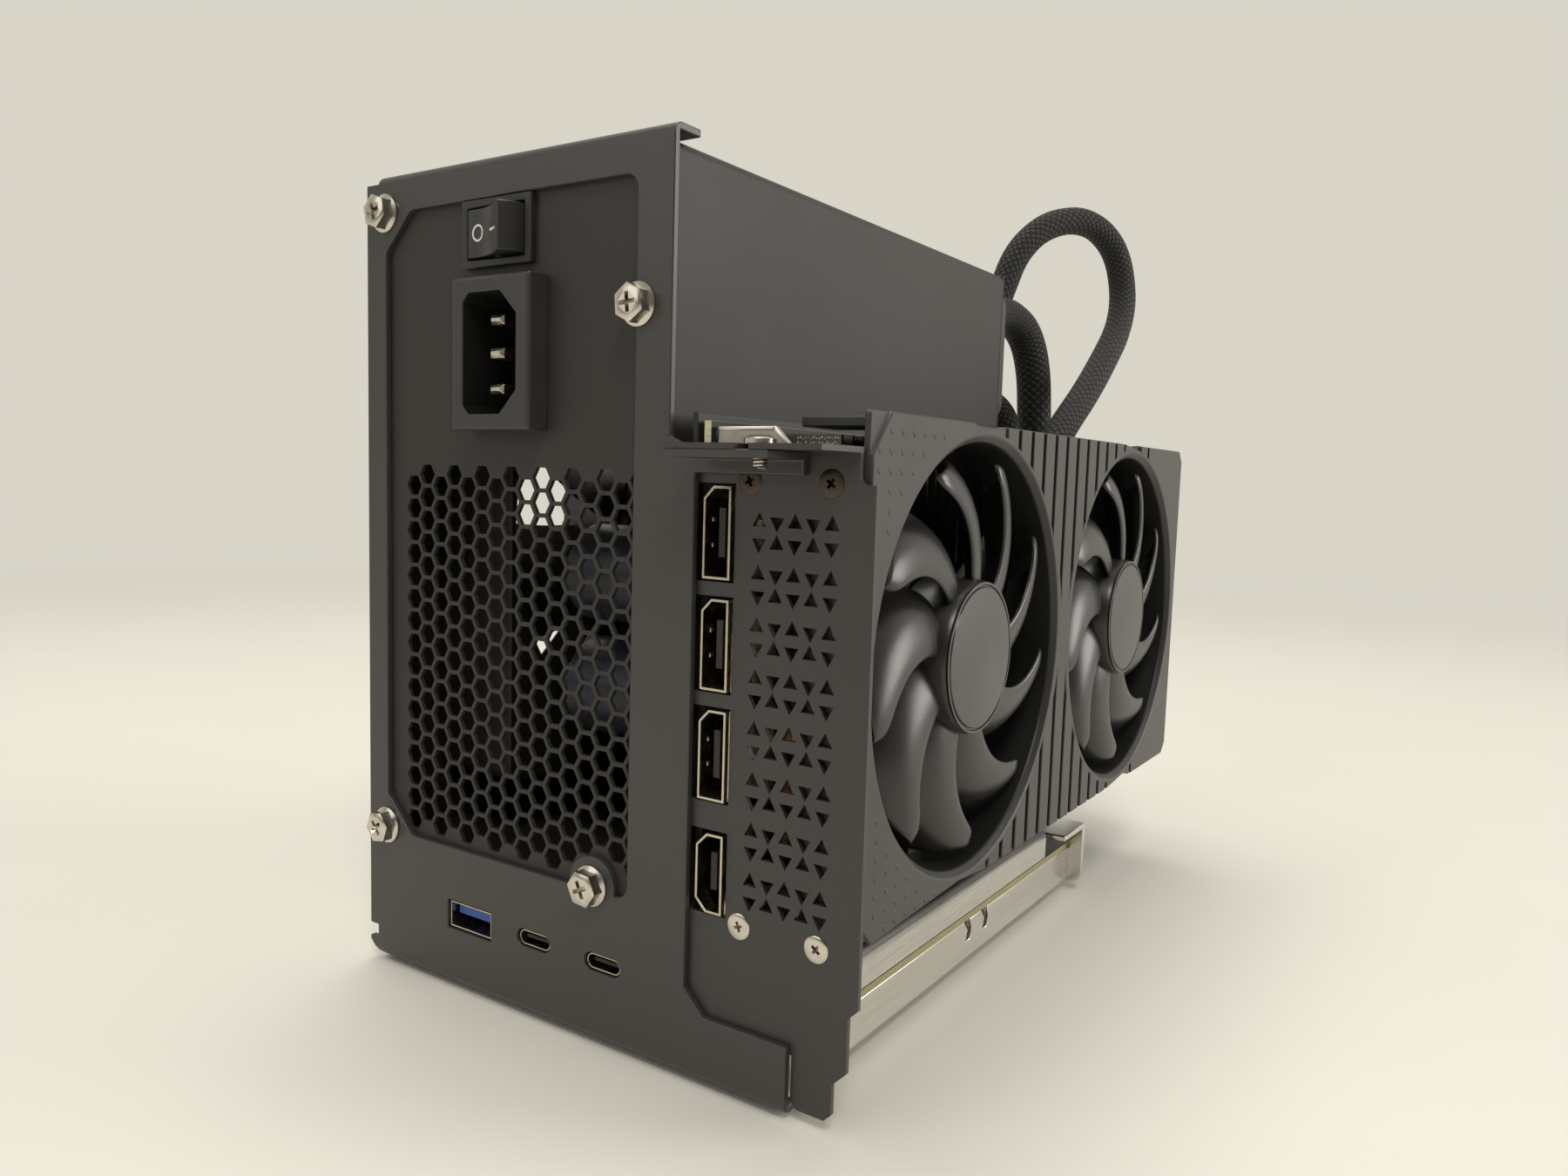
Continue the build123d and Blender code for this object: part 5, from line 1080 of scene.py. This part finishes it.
@dataclass
class RearPlate(Assembly):
    """Folded rear plate and the screws that hold the power supply to it."""

    eased = {"rear_plate": (0.25, PLATE_COAT)}
    screw_spots: Sequence[Pair] = ((6.0, 144.0), (6.0, 6.0), (70.0, 6.0), (80.0, 120.0))
    screw_turns: Sequence[float] = (12.0, 40.0, 25.0, 5.0)
    screw: FlangeScrew = field(default_factory=FlangeScrew)

    def build(self) -> None:
        """Set the four flange screws."""
        blank = self.screw.blank()
        piece = Piece("supply_flange_screws")
        for (x, z), turn in zip(self.screw_spots, self.screw_turns):
            piece.add(blank, facing(spot(x, 0.0, z), REARWARD, turn))
        screws = piece.make(SCREW_NICKEL, "chassis")
        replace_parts(screws, "psu_screws")


@dataclass
class RockerMarks:
    """Printed ring and bar on the rocker's dished face."""

    pivot: Point = (41.2, 1.3, 136.9)
    tilt: float = 18.0
    half_width: float = 6.9
    rise: float = 4.1
    dish: float = 1.4
    lift: float = 0.03
    ring_at: float = -3.9
    ring_radius: float = 1.75
    bar_at: float = 2.6
    bar_length: float = 3.3
    stroke: float = 0.42
    bar_strokes: float = 1.2
    ring_steps: int = 36
    bar_steps: int = 6

    def face_height(self, x: float) -> float:
        """Depth of the dished face at a place across the rocker, in its own frame."""
        bow = (self.half_width ** 2 + self.dish ** 2) / (2.0 * self.dish)
        return -(self.rise - self.dish) - bow + math.sqrt(bow ** 2 - x ** 2) - self.lift

    def build(self) -> None:
        """Lay both marks on the face and let them ride on the rocker."""
        blank = Blank()
        ring = []
        for radius in (self.ring_radius - self.stroke, self.ring_radius):
            ring += bmesh.ops.create_circle(blank.mesh, segments=self.ring_steps, radius=radius)["verts"]
        loops = list({edge for vert in ring for edge in vert.link_edges})
        bmesh.ops.bridge_loops(blank.mesh, edges=loops)
        bmesh.ops.translate(blank.mesh, vec=(self.ring_at, 0, 0), verts=ring)
        grid = bmesh.ops.create_grid(blank.mesh, x_segments=self.bar_steps, y_segments=1, size=0.5)
        bar = grid["verts"]
        bmesh.ops.scale(blank.mesh, vec=(self.bar_length, self.stroke * self.bar_strokes, 1.0), verts=bar)
        bmesh.ops.translate(blank.mesh, vec=(self.bar_at, 0, 0), verts=bar)
        for vert in blank.mesh.verts:
            vert.co = (vert.co.x, self.face_height(vert.co.x), vert.co.y)
        lean = Matrix.Rotation(math.radians(-self.tilt), 4, "Z")
        piece = Piece("rocker_marks")
        piece.add(blank, placed(spot(*self.pivot), lean))
        for face in piece.mesh.faces:
            if face.normal.y > 0.0:
                face.normal_flip()
        piece.make(MARK_INK, "rocker")


@dataclass
class PowerSupply(Assembly):
    """Mains power supply: sheets, switch, inlet, gland and fan."""

    eased = {
        "psu_rear_panel": (0.12, SUPPLY_COAT),
        "psu_cover": (0.2, SUPPLY_COAT),
        "psu_case": (0.15, SUPPLY_COAT),
        "switch_bezel": (0.3, BLACK_SKIN),
        "switch_rocker": (0.35, ROCKER_SKIN),
        "mains_inlet": (0.3, INLET_SKIN),
        "mains_blades": (0.1, BLADE_PLATE),
        "cable_gland": (0.5, BLACK_SKIN),
        "psu_fan_frame": (0.3, BLACK_SKIN),
        "psu_fan_rotor": (0.2, FAN_SKIN),
    }
    marks: RockerMarks = field(default_factory=RockerMarks)
    mouth_centre: Pair = (43.7, 112.0)
    mouth_half: Pair = (9.6, 13.2)
    mouth_rim: float = 0.6

    def build(self) -> None:
        """Paint shade into the inlet's mouth and lay the rocker's marks."""
        rim = box_mm("mains_inlet")[0].y + self.mouth_rim
        # painted shade inside the inlet's mouth
        accent(
            bpy.data.objects["mains_inlet_eased"], SHADE_SKIN,
            lambda middle, normal: middle.y > rim and self.in_mouth(middle),
        )
        self.marks.build()

    def in_mouth(self, middle: Vector) -> bool:
        """Tell whether a place lies inside the inlet's mouth, seen from the rear."""
        across, up = self.mouth_centre
        return abs(middle.x - across) < self.mouth_half[0] and abs(middle.z - up) < self.mouth_half[1]


@dataclass
class FanRotor:
    """Bladed fan rotor: turned hub with a flat disc, and swept blades that grow from it."""

    node: str
    blades: int = 9
    blade_middle: float = 122.5
    first_blade: float = -9.0
    sweep: float = 37.0
    sweep_curl: float = 0.55
    root_inset: float = 0.8
    root_chord: float = 13.5
    tip_chord: float = 24.0
    root_pitch: float = 27.0
    tip_pitch: float = 29.0
    rake: float = 1.8
    camber: float = 0.13
    thickness: float = 1.1
    tip_gap: float = 1.7
    tip_round: float = 0.45
    tip_from: float = 0.8
    tip_power: float = 2.5
    sheet_steps: tuple[int, int] = (12, 10)
    hub_radius: float = 15.9
    hub_foot_ease: float = 0.4
    hub_shoulder: Sequence[Pair] = ((0.0, 1.6), (0.5, 0.7))
    hub_steps: int = 72
    disc_share: float = 0.92
    disc_step: Sequence[Pair] = (
        (0.9, 0.15), (0.45, 0.1), (0.25, 0.45), (-0.05, 0.45), (-0.25, 0.08), (-0.6, 0.0),
    )
    disc_facing: float = 0.95

    def build(self) -> None:
        """Make the hub and the blades and let them ride on the rotor's body."""
        low, high = box_mm(self.node)
        middle = (low + high) / 2
        body = NODE_BODY[self.node]
        hub = Piece(f"{self.node}_hub")
        hub.add(self.hub_blank(high.x - low.x), facing(spot(*middle), FANWARD))
        made = hub.make(FAN_SKIN, body, sharp=40.0)
        accent(made, HUB_SKIN, lambda middle, normal: normal.x > self.disc_facing)
        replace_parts(made, self.node)
        vanes = Piece(f"{self.node}_blades")
        tip_radius = (high.z - low.z) / 2 - self.tip_gap
        vanes.add(self.blade_blank(tip_radius, self.blade_middle - middle.x), placed(spot(*middle)))
        made = vanes.make(FAN_SKIN, body, sharp=180.0)
        wall = made.modifiers.new("blade_wall", "SOLIDIFY")
        wall.thickness = self.thickness * MM
        wall.offset = 0.0
        soft = made.modifiers.new("blade_form", "SUBSURF")
        soft.levels = soft.render_levels = 1

    def hub_blank(self, depth: float) -> Blank:
        """Hub with a stepped flat disc on its front.

        Args:
            depth: Length of the hub along its axis.

        Returns:
            The hub, centred on its axis.
        """
        blank = Blank()
        rim, disc, half = self.hub_radius, self.hub_radius * self.disc_share, depth / 2
        outline = [(0.0, -half), (rim - self.hub_foot_ease, -half), (rim, self.hub_foot_ease - half)]
        outline += [(rim - inward, half - below) for inward, below in self.hub_shoulder]
        outline += [(disc + past, half - below) for past, below in self.disc_step]
        outline.append((0.0, half))
        blank.turn(outline, self.hub_steps)
        return blank

    def blade_blank(self, tip_radius: float, shift: float) -> Blank:
        """All blades as curved sheets.

        Args:
            tip_radius: Radius at the blades' tips.
            shift: Distance along the axis from the hub's middle to the blades' middle.

        Returns:
            The sheets, centred on the hub, with X along the axis.
        """
        blank = Blank()
        out_steps, across_steps = self.sheet_steps
        grid = bmesh.ops.create_grid(blank.mesh, x_segments=out_steps, y_segments=across_steps, size=0.5)
        root = self.hub_radius - self.root_inset
        for vert in grid["verts"]:
            out, across = vert.co.x + 0.5, vert.co.y
            radius = root + (tip_radius - root) * out
            chord = self.root_chord + (self.tip_chord - self.root_chord) * out
            pinch = max(0.0, (out - self.tip_from) / (1.0 - self.tip_from))
            chord *= 1.0 - self.tip_round * pinch ** self.tip_power * (2.0 * abs(across)) ** 3
            pitch = math.radians(self.root_pitch + (self.tip_pitch - self.root_pitch) * out)
            bulge = self.camber * chord * (1.0 - 4.0 * across ** 2)
            along = chord * across * math.cos(pitch) - bulge * math.sin(pitch)
            rise = chord * across * math.sin(pitch) + bulge * math.cos(pitch)
            curl = self.sweep_curl * out ** 2 + (1.0 - self.sweep_curl) * out
            swing = math.radians(self.first_blade + self.sweep * curl) + along / radius
            forward = shift + rise + self.rake * (1.0 - out)
            vert.co = (forward, radius * math.cos(swing), radius * math.sin(swing))
        others = self.blades - 1
        bmesh.ops.spin(
            blank.mesh, geom=blank.mesh.verts[:] + blank.mesh.edges[:] + blank.mesh.faces[:],
            cent=(0, 0, 0), axis=(1, 0, 0), dvec=(0, 0, 0),
            angle=math.tau * others / self.blades, steps=others, use_duplicate=True,
        )
        return blank


@dataclass
class ShroudGrain:
    """Raised grains in rows on the shroud's near flat, outside the fan opening."""

    first: Pair = (5.05, 7.8)
    pitch: Pair = (4.13, 3.43)
    count: tuple[int, int] = (9, 27)
    size: Point = (0.34, 0.95, 1.4)
    slant: float = 28.0
    fan_centre: Pair = (50.3, 53.2)
    clear_radius: float = 48.0
    corner_cut: float = 8.5
    top_margin: float = 1.5

    def build(self) -> None:
        """Set the grains on the shroud's face."""
        low, high = box_mm("shroud")
        blank = Blank()
        blank.bead()
        piece = Piece("shroud_grain")
        lean = Matrix.Rotation(math.radians(self.slant), 4, "X")
        for row in range(self.count[1]):
            for column in range(self.count[0]):
                y = self.first[0] + self.pitch[0] * column
                z = self.first[1] + self.pitch[1] * row
                reach = math.hypot(y - self.fan_centre[0], z - self.fan_centre[1])
                corner = (y - low.y) + min(z - low.z, high.z - z)
                if reach < self.clear_radius or corner < self.corner_cut or high.z - z < self.top_margin:
                    continue
                piece.add(blank, placed(spot(high.x, y, z), lean) @ Matrix.Diagonal((*self.size, 1.0)))
        piece.make(SHROUD_SKIN, "chassis", sharp=60.0)


@dataclass
class TabRim:
    """Folded rim along the top of the cooler's tab and down its slanted corner, in plating far brighter than the
    tab's: a painted highlight along the rim.
    """

    width: float = 0.7
    proud: float = 0.3
    past_left: float = 1.2
    tab_width: float = 16.0
    corner_cut: float = 3.0
    ease: float = 0.12

    def build(self) -> None:
        """Set both runs of the rim on the tab."""
        low, high = box_mm("cooler_frame")
        run = self.tab_width - self.corner_cut + self.past_left
        level = Blank()
        level.bar((run, 2 * self.proud, self.width), self.ease)
        slanted = Blank()
        fall = self.corner_cut * math.sqrt(2.0) + self.width / 2
        slanted.bar((fall, 2 * self.proud, self.width), self.ease)
        inset = self.corner_cut / 2 + self.width * math.sqrt(0.5) / 2
        piece = Piece("tab_rim_highlight")
        piece.add(level, placed(spot(low.x - self.past_left + run / 2, low.y, high.z - self.width / 2)))
        tilt = Matrix.Rotation(math.pi / 4, 4, "Y")
        piece.add(slanted, placed(spot(low.x + self.tab_width - inset, low.y, high.z - inset), tilt))
        # painted highlight: the rim is made in bright plating
        piece.make(BRIGHT_PLATING_AND_HIGHLIGHT, "chassis")


@dataclass
class FinLocks:
    """Rows of small crimped locks on the near end of the fins."""

    rows: int = 3
    columns: int = 16
    pitch: Pair = (0.6, 0.95)
    inset: Pair = (4.8, 0.75)
    size: float = 0.42
    stray: float = 0.14
    wander_steps: Pair = (2.3, 1.1)
    size_swing: float = 0.25

    def build(self) -> None:
        """Set the locks, a little uneven, on the first fin."""
        low, high = box_mm("fin_stack")
        blank = Blank()
        blank.bead()
        piece = Piece("fin_locks")
        for row in range(self.rows):
            for column in range(self.columns):
                wander = math.sin(self.wander_steps[0] * column + self.wander_steps[1] * row)
                x = low.x + self.inset[0] + self.pitch[0] * column
                z = high.z - self.inset[1] - self.pitch[1] * row + self.stray * wander
                size = self.size * (1.0 - self.size_swing + self.size_swing * wander)
                piece.add(blank, placed(spot(x, low.y, z), Matrix.Scale(size, 4)))
        piece.make(BRIGHT_PLATING_AND_HIGHLIGHT, "chassis", sharp=60.0)


@dataclass
class Cooler(Assembly):
    """Two-fan cooler: shroud, carriers, fans and heat sink."""

    eased = {
        "shroud": (0.3, SHROUD_SKIN),
        "cooler_frame": (0.2, TAB_METAL),
        "fan_carrier_front": (0.3, BLACK_SKIN),
        "fan_carrier_rear": (0.3, BLACK_SKIN),
    }
    grain: ShroudGrain = field(default_factory=ShroudGrain)
    rim: TabRim = field(default_factory=TabRim)
    locks: FinLocks = field(default_factory=FinLocks)
    fan_centres: Sequence[Pair] = ((50.3, 53.2), (148.8, 53.2))
    bore: float = 43.7
    solid_bevel: float = 2.6
    bevel: float = 1.3
    ring: float = 47.3
    groove_end: float = 46.0
    drawn_grooves: float = 42.5
    groove_span: Pair = (43.8, 162.6)
    groove_depth: float = 1.1
    skin: float = 0.05
    slack: float = 0.1
    near_enough: float = 0.2
    bore_margin: float = 0.4
    wall_slant: float = 0.3
    face_slant: float = 0.97
    groove_slant: float = 0.5

    def build(self) -> None:
        """Narrow the openings' rings, paint shade on the openings' walls, in the grooves and on the rings, and
        make the trim and both fans.
        """
        shroud = bpy.data.objects["shroud_eased"]
        front = box_mm("shroud")[1].x
        self.narrow_rings(shroud.data, front)
        # painted shade: near-black colour on the walls of the fan openings and in the grooves
        accent(shroud, SHADE_SKIN, lambda middle, normal: self.in_shade(front - middle.x, middle, normal))
        # painted shade: a darker colour on the openings' bevelled rings
        accent(shroud, RING_SHADE_SKIN, self.on_ring)
        self.grain.build()
        self.rim.build()
        self.locks.build()
        for node in ("fan_rotor_front", "fan_rotor_rear"):
            FanRotor(node).build()

    def narrow_rings(self, mesh: bpy.types.Mesh, front: float) -> None:
        """Draw the bevel of the openings in to a narrow ring, and the grooves' ends up to it.

        Args:
            mesh: The shroud's mesh.
            front: Place of the shroud's front, in millimetres.
        """
        for vert in mesh.vertices:
            place = (vert.co - CORNER) / MM
            depth = front - place.x
            y, z = min(self.fan_centres, key=lambda centre: math.dist(centre, place.yz))
            across, up = place.y - y, place.z - z
            reach = math.hypot(across, up)
            on_groove = depth < self.groove_depth + self.slack and abs(across) < self.drawn_grooves
            if self.close(reach, self.bore) and self.close(depth, self.solid_bevel):
                place.x = front - self.bevel
            elif self.close(reach, self.bore + self.solid_bevel) and depth < self.slack:
                share = (self.bore + self.bevel) / reach
                place.y, place.z = y + across * share, z + up * share
            elif self.close(reach, self.ring) and on_groove:
                place.z = z + math.copysign(math.sqrt(self.groove_end ** 2 - across ** 2), up)
            else:
                continue
            vert.co = spot(*place)

    def close(self, length: float, wanted: float) -> bool:
        """Tell whether a length on the solid is the one that is looked for."""
        return abs(length - wanted) < self.near_enough

    def reach(self, middle: Vector) -> float:
        """Distance from the nearer fan's axis."""
        return min(math.dist(centre, middle.yz) for centre in self.fan_centres)

    def on_ring(self, middle: Vector, normal: Vector) -> bool:
        """Tell whether a face of the shroud lies on the bevelled ring of a fan opening."""
        return self.wall_slant < normal.x < self.face_slant and self.reach(middle) < self.ring

    def in_shade(self, depth: float, middle: Vector, normal: Vector) -> bool:
        """Tell whether a face of the shroud lies on the wall of a fan opening or inside a groove.

        Args:
            depth: How far the face lies behind the shroud's front, in millimetres.
            middle: Middle of the face, in millimetres.
            normal: Its normal.

        Returns:
            True for the walls of the openings and the grooves.
        """
        if self.reach(middle) < self.ring:
            return self.reach(middle) < self.bore + self.bore_margin and abs(normal.x) < self.wall_slant
        low, high = self.groove_span
        sunk = self.skin < depth < self.groove_depth + self.slack
        return sunk and low < middle.y < high and abs(normal.z) < self.groove_slant


@dataclass
class RetainingScrew:
    """Round-headed screw through the slot ledge, with its thread showing below."""

    place: Point = (112.3, -5.5, 94.1)
    head_radius: float = 2.8
    head_height: float = 1.5
    head_ease: float = 1.0
    thread_radius: float = 1.4
    thread_depth: float = 0.25
    pitch: float = 0.62
    length: float = 4.3
    steps: int = 16
    head_sides: int = 32
    recess: Recess = Recess(1.5, 0.34, 0.8)
    tip_rise: float = 0.35
    tip_past_core: float = 0.1
    tip_sides: int = 24

    def build(self) -> None:
        """Make the head and the thread in the screw's place."""
        blank = Blank()
        crown = self.head_height - self.head_ease * blank.crown_slope
        top = blank.prism(self.head_radius, self.head_sides, 0.0, crown, self.head_ease)
        blank.cross(top, self.recess)
        turns = int(self.length / self.pitch)
        core = self.thread_radius - self.thread_depth
        flank = [(core, 0.0), (self.thread_radius, self.pitch / 2), (core, self.pitch)]
        corners = [blank.mesh.verts.new((radius, 0.0, height - self.length)) for radius, height in flank]
        runs = [blank.mesh.edges.new(pair) for pair in zip(corners, corners[1:])]
        bmesh.ops.spin(
            blank.mesh, geom=corners + runs, cent=(0, 0, 0), axis=(0, 0, 1), angle=math.tau * (turns - 1),
            dvec=(0, 0, self.pitch / self.steps), steps=self.steps * (turns - 1),
        )
        bmesh.ops.create_circle(
            blank.mesh, cap_ends=True, segments=self.tip_sides, radius=core + self.tip_past_core,
            matrix=Matrix.Translation((0, 0, self.tip_rise - self.length)),
        )
        blank.merge()
        piece = Piece("ledge_screw")
        piece.add(blank, placed(spot(*self.place)))
        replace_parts(piece.make(SCREW_NICKEL, "chassis"), "retaining_screw")


@dataclass
class CardBracket(Assembly):
    """Graphics card's slot bracket, its screws and the sockets behind it."""

    eased = {
        "display_shells": (0.1, SOCKET_PLATE),
        "video_shell": (0.1, SOCKET_PLATE),
    }
    face: float = 1.5
    screw_x: Pair = (105.5, 122.4)
    screw_turns: Pair = (20.0, 53.0)
    screw_proud: float = 0.05
    low_screw_z: float = 5.9
    high_screw_z: float = 87.8
    screw: FlushScrew = field(default_factory=FlushScrew)
    ledge_screw: RetainingScrew = field(default_factory=RetainingScrew)
    display_z: Sequence[float] = (78.3, 57.7, 37.1)
    shell_wall: float = 0.5
    latch_size: Point = (0.3, 0.9, 0.8)
    latch_depth: float = 3.5
    latch_offset: float = 2.35
    latch_ease: float = 0.06

    def build(self) -> None:
        """Set the bracket's screws and the sockets' latches."""
        blank = self.screw.blank()
        for name, z, finish in (
            ("bracket_low_screws", self.low_screw_z, SCREW_NICKEL),
            ("bracket_high_screws", self.high_screw_z, SCREW_DARK),
        ):
            piece = Piece(name)
            for x, turn in zip(self.screw_x, self.screw_turns):
                rim = spot(x, self.face - self.screw_proud, z)
                piece.add(blank, facing(rim, REARWARD, turn))
            made = piece.make(finish, "chassis")
            if finish is SCREW_NICKEL:
                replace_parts(made, "bracket_screws")
        self.ledge_screw.build()
        self.set_latches()

    def set_latches(self) -> None:
        """Set the two bright latch windows on the inner wall of each display socket."""
        wall = box_mm("display_shells")[0].x + self.shell_wall
        blank = Blank()
        blank.bar(self.latch_size, self.latch_ease)
        piece = Piece("display_latches")
        for z in self.display_z:
            for side in (-self.latch_offset, self.latch_offset):
                piece.add(blank, placed(spot(wall, self.latch_depth, z + side)))
        piece.make(BRIGHT_PLATING_AND_HIGHLIGHT, "chassis")


@dataclass
class DockBase(Assembly):
    """Aluminium base with the dock board and its sockets."""

    eased = {
        "base_tray": (0.25, BASE_METAL),
        "top_cover": (0.3, COVER_METAL),
        "end_bracket": (0.3, BASE_METAL),
        "dock_board": (0.08, DOCK_LAMINATE),
        "data_socket_shell": (0.08, SOCKET_PLATE),
        "host_socket_shells": (0.08, SOCKET_PLATE),
        "card_slot": (0.2, BLACK_SKIN),
        "slot_latch": (0.25, BLACK_SKIN),
        "power_headers": (0.25, BLACK_SKIN),
        "foot_pads": (0.3, PAD_RUBBER),
    }
    tab_starts: Sequence[float] = (74.8, 84.6)
    tab_size: Point = (0.6, 5.2, 5.6)
    tab_ease: float = 0.15
    tab_before_slit: float = 0.4
    tray_wall: float = 1.5

    def build(self) -> None:
        """Set the cover's snap tabs behind the slits in the tray's side."""
        low, high = box_mm("base_tray")
        thick, long, tall = self.tab_size
        blank = Blank()
        blank.bar(self.tab_size, self.tab_ease)
        piece = Piece("cover_tabs")
        for start in self.tab_starts:
            y = low.y + start + long / 2 - self.tab_before_slit
            piece.add(blank, placed(spot(high.x - self.tray_wall - thick / 2, y, high.z - tall / 2)))
        piece.make(TAB_METAL, "chassis")


@dataclass
class CardBody(Assembly):
    """Card's board, back plate, power socket and the plugs of the leads."""

    eased = {
        "card_board": (0.08, CARD_LAMINATE),
        "card_backplate": (0.2, BACKPLATE_COAT),
        "card_power_socket": (0.25, BLACK_SKIN),
    }

    def build(self) -> None:
        """The card needs no pieces beyond its eased nodes."""


def dress_nodes() -> None:
    """Give every node that still shows the finish of its material slot."""
    for node, slot in node_slots().items():
        target = frame["nodes"][node]
        if not target.material_slots:
            target.data.materials.append(None)
        for place in target.material_slots:
            place.material = SLOT_FINISH[slot].material()
        log.info("%s: dressed as %s", node, slot)


def main() -> None:
    """Build the studio, the camera and every piece of the enclosure."""
    logging.basicConfig(level=logging.INFO, format="%(name)s: %(message)s")
    PhotoCamera().build()
    Studio().build()
    for lead in (CARD_LEAD, MAIN_LEAD, AUX_LEAD):
        lead.build()
    dress_nodes()
    for assembly in (RearPlate(), PowerSupply(), CardBracket(), Cooler(), DockBase(), CardBody()):
        assembly.ease()
        assembly.build()


if __name__ == "__main__":
    main()
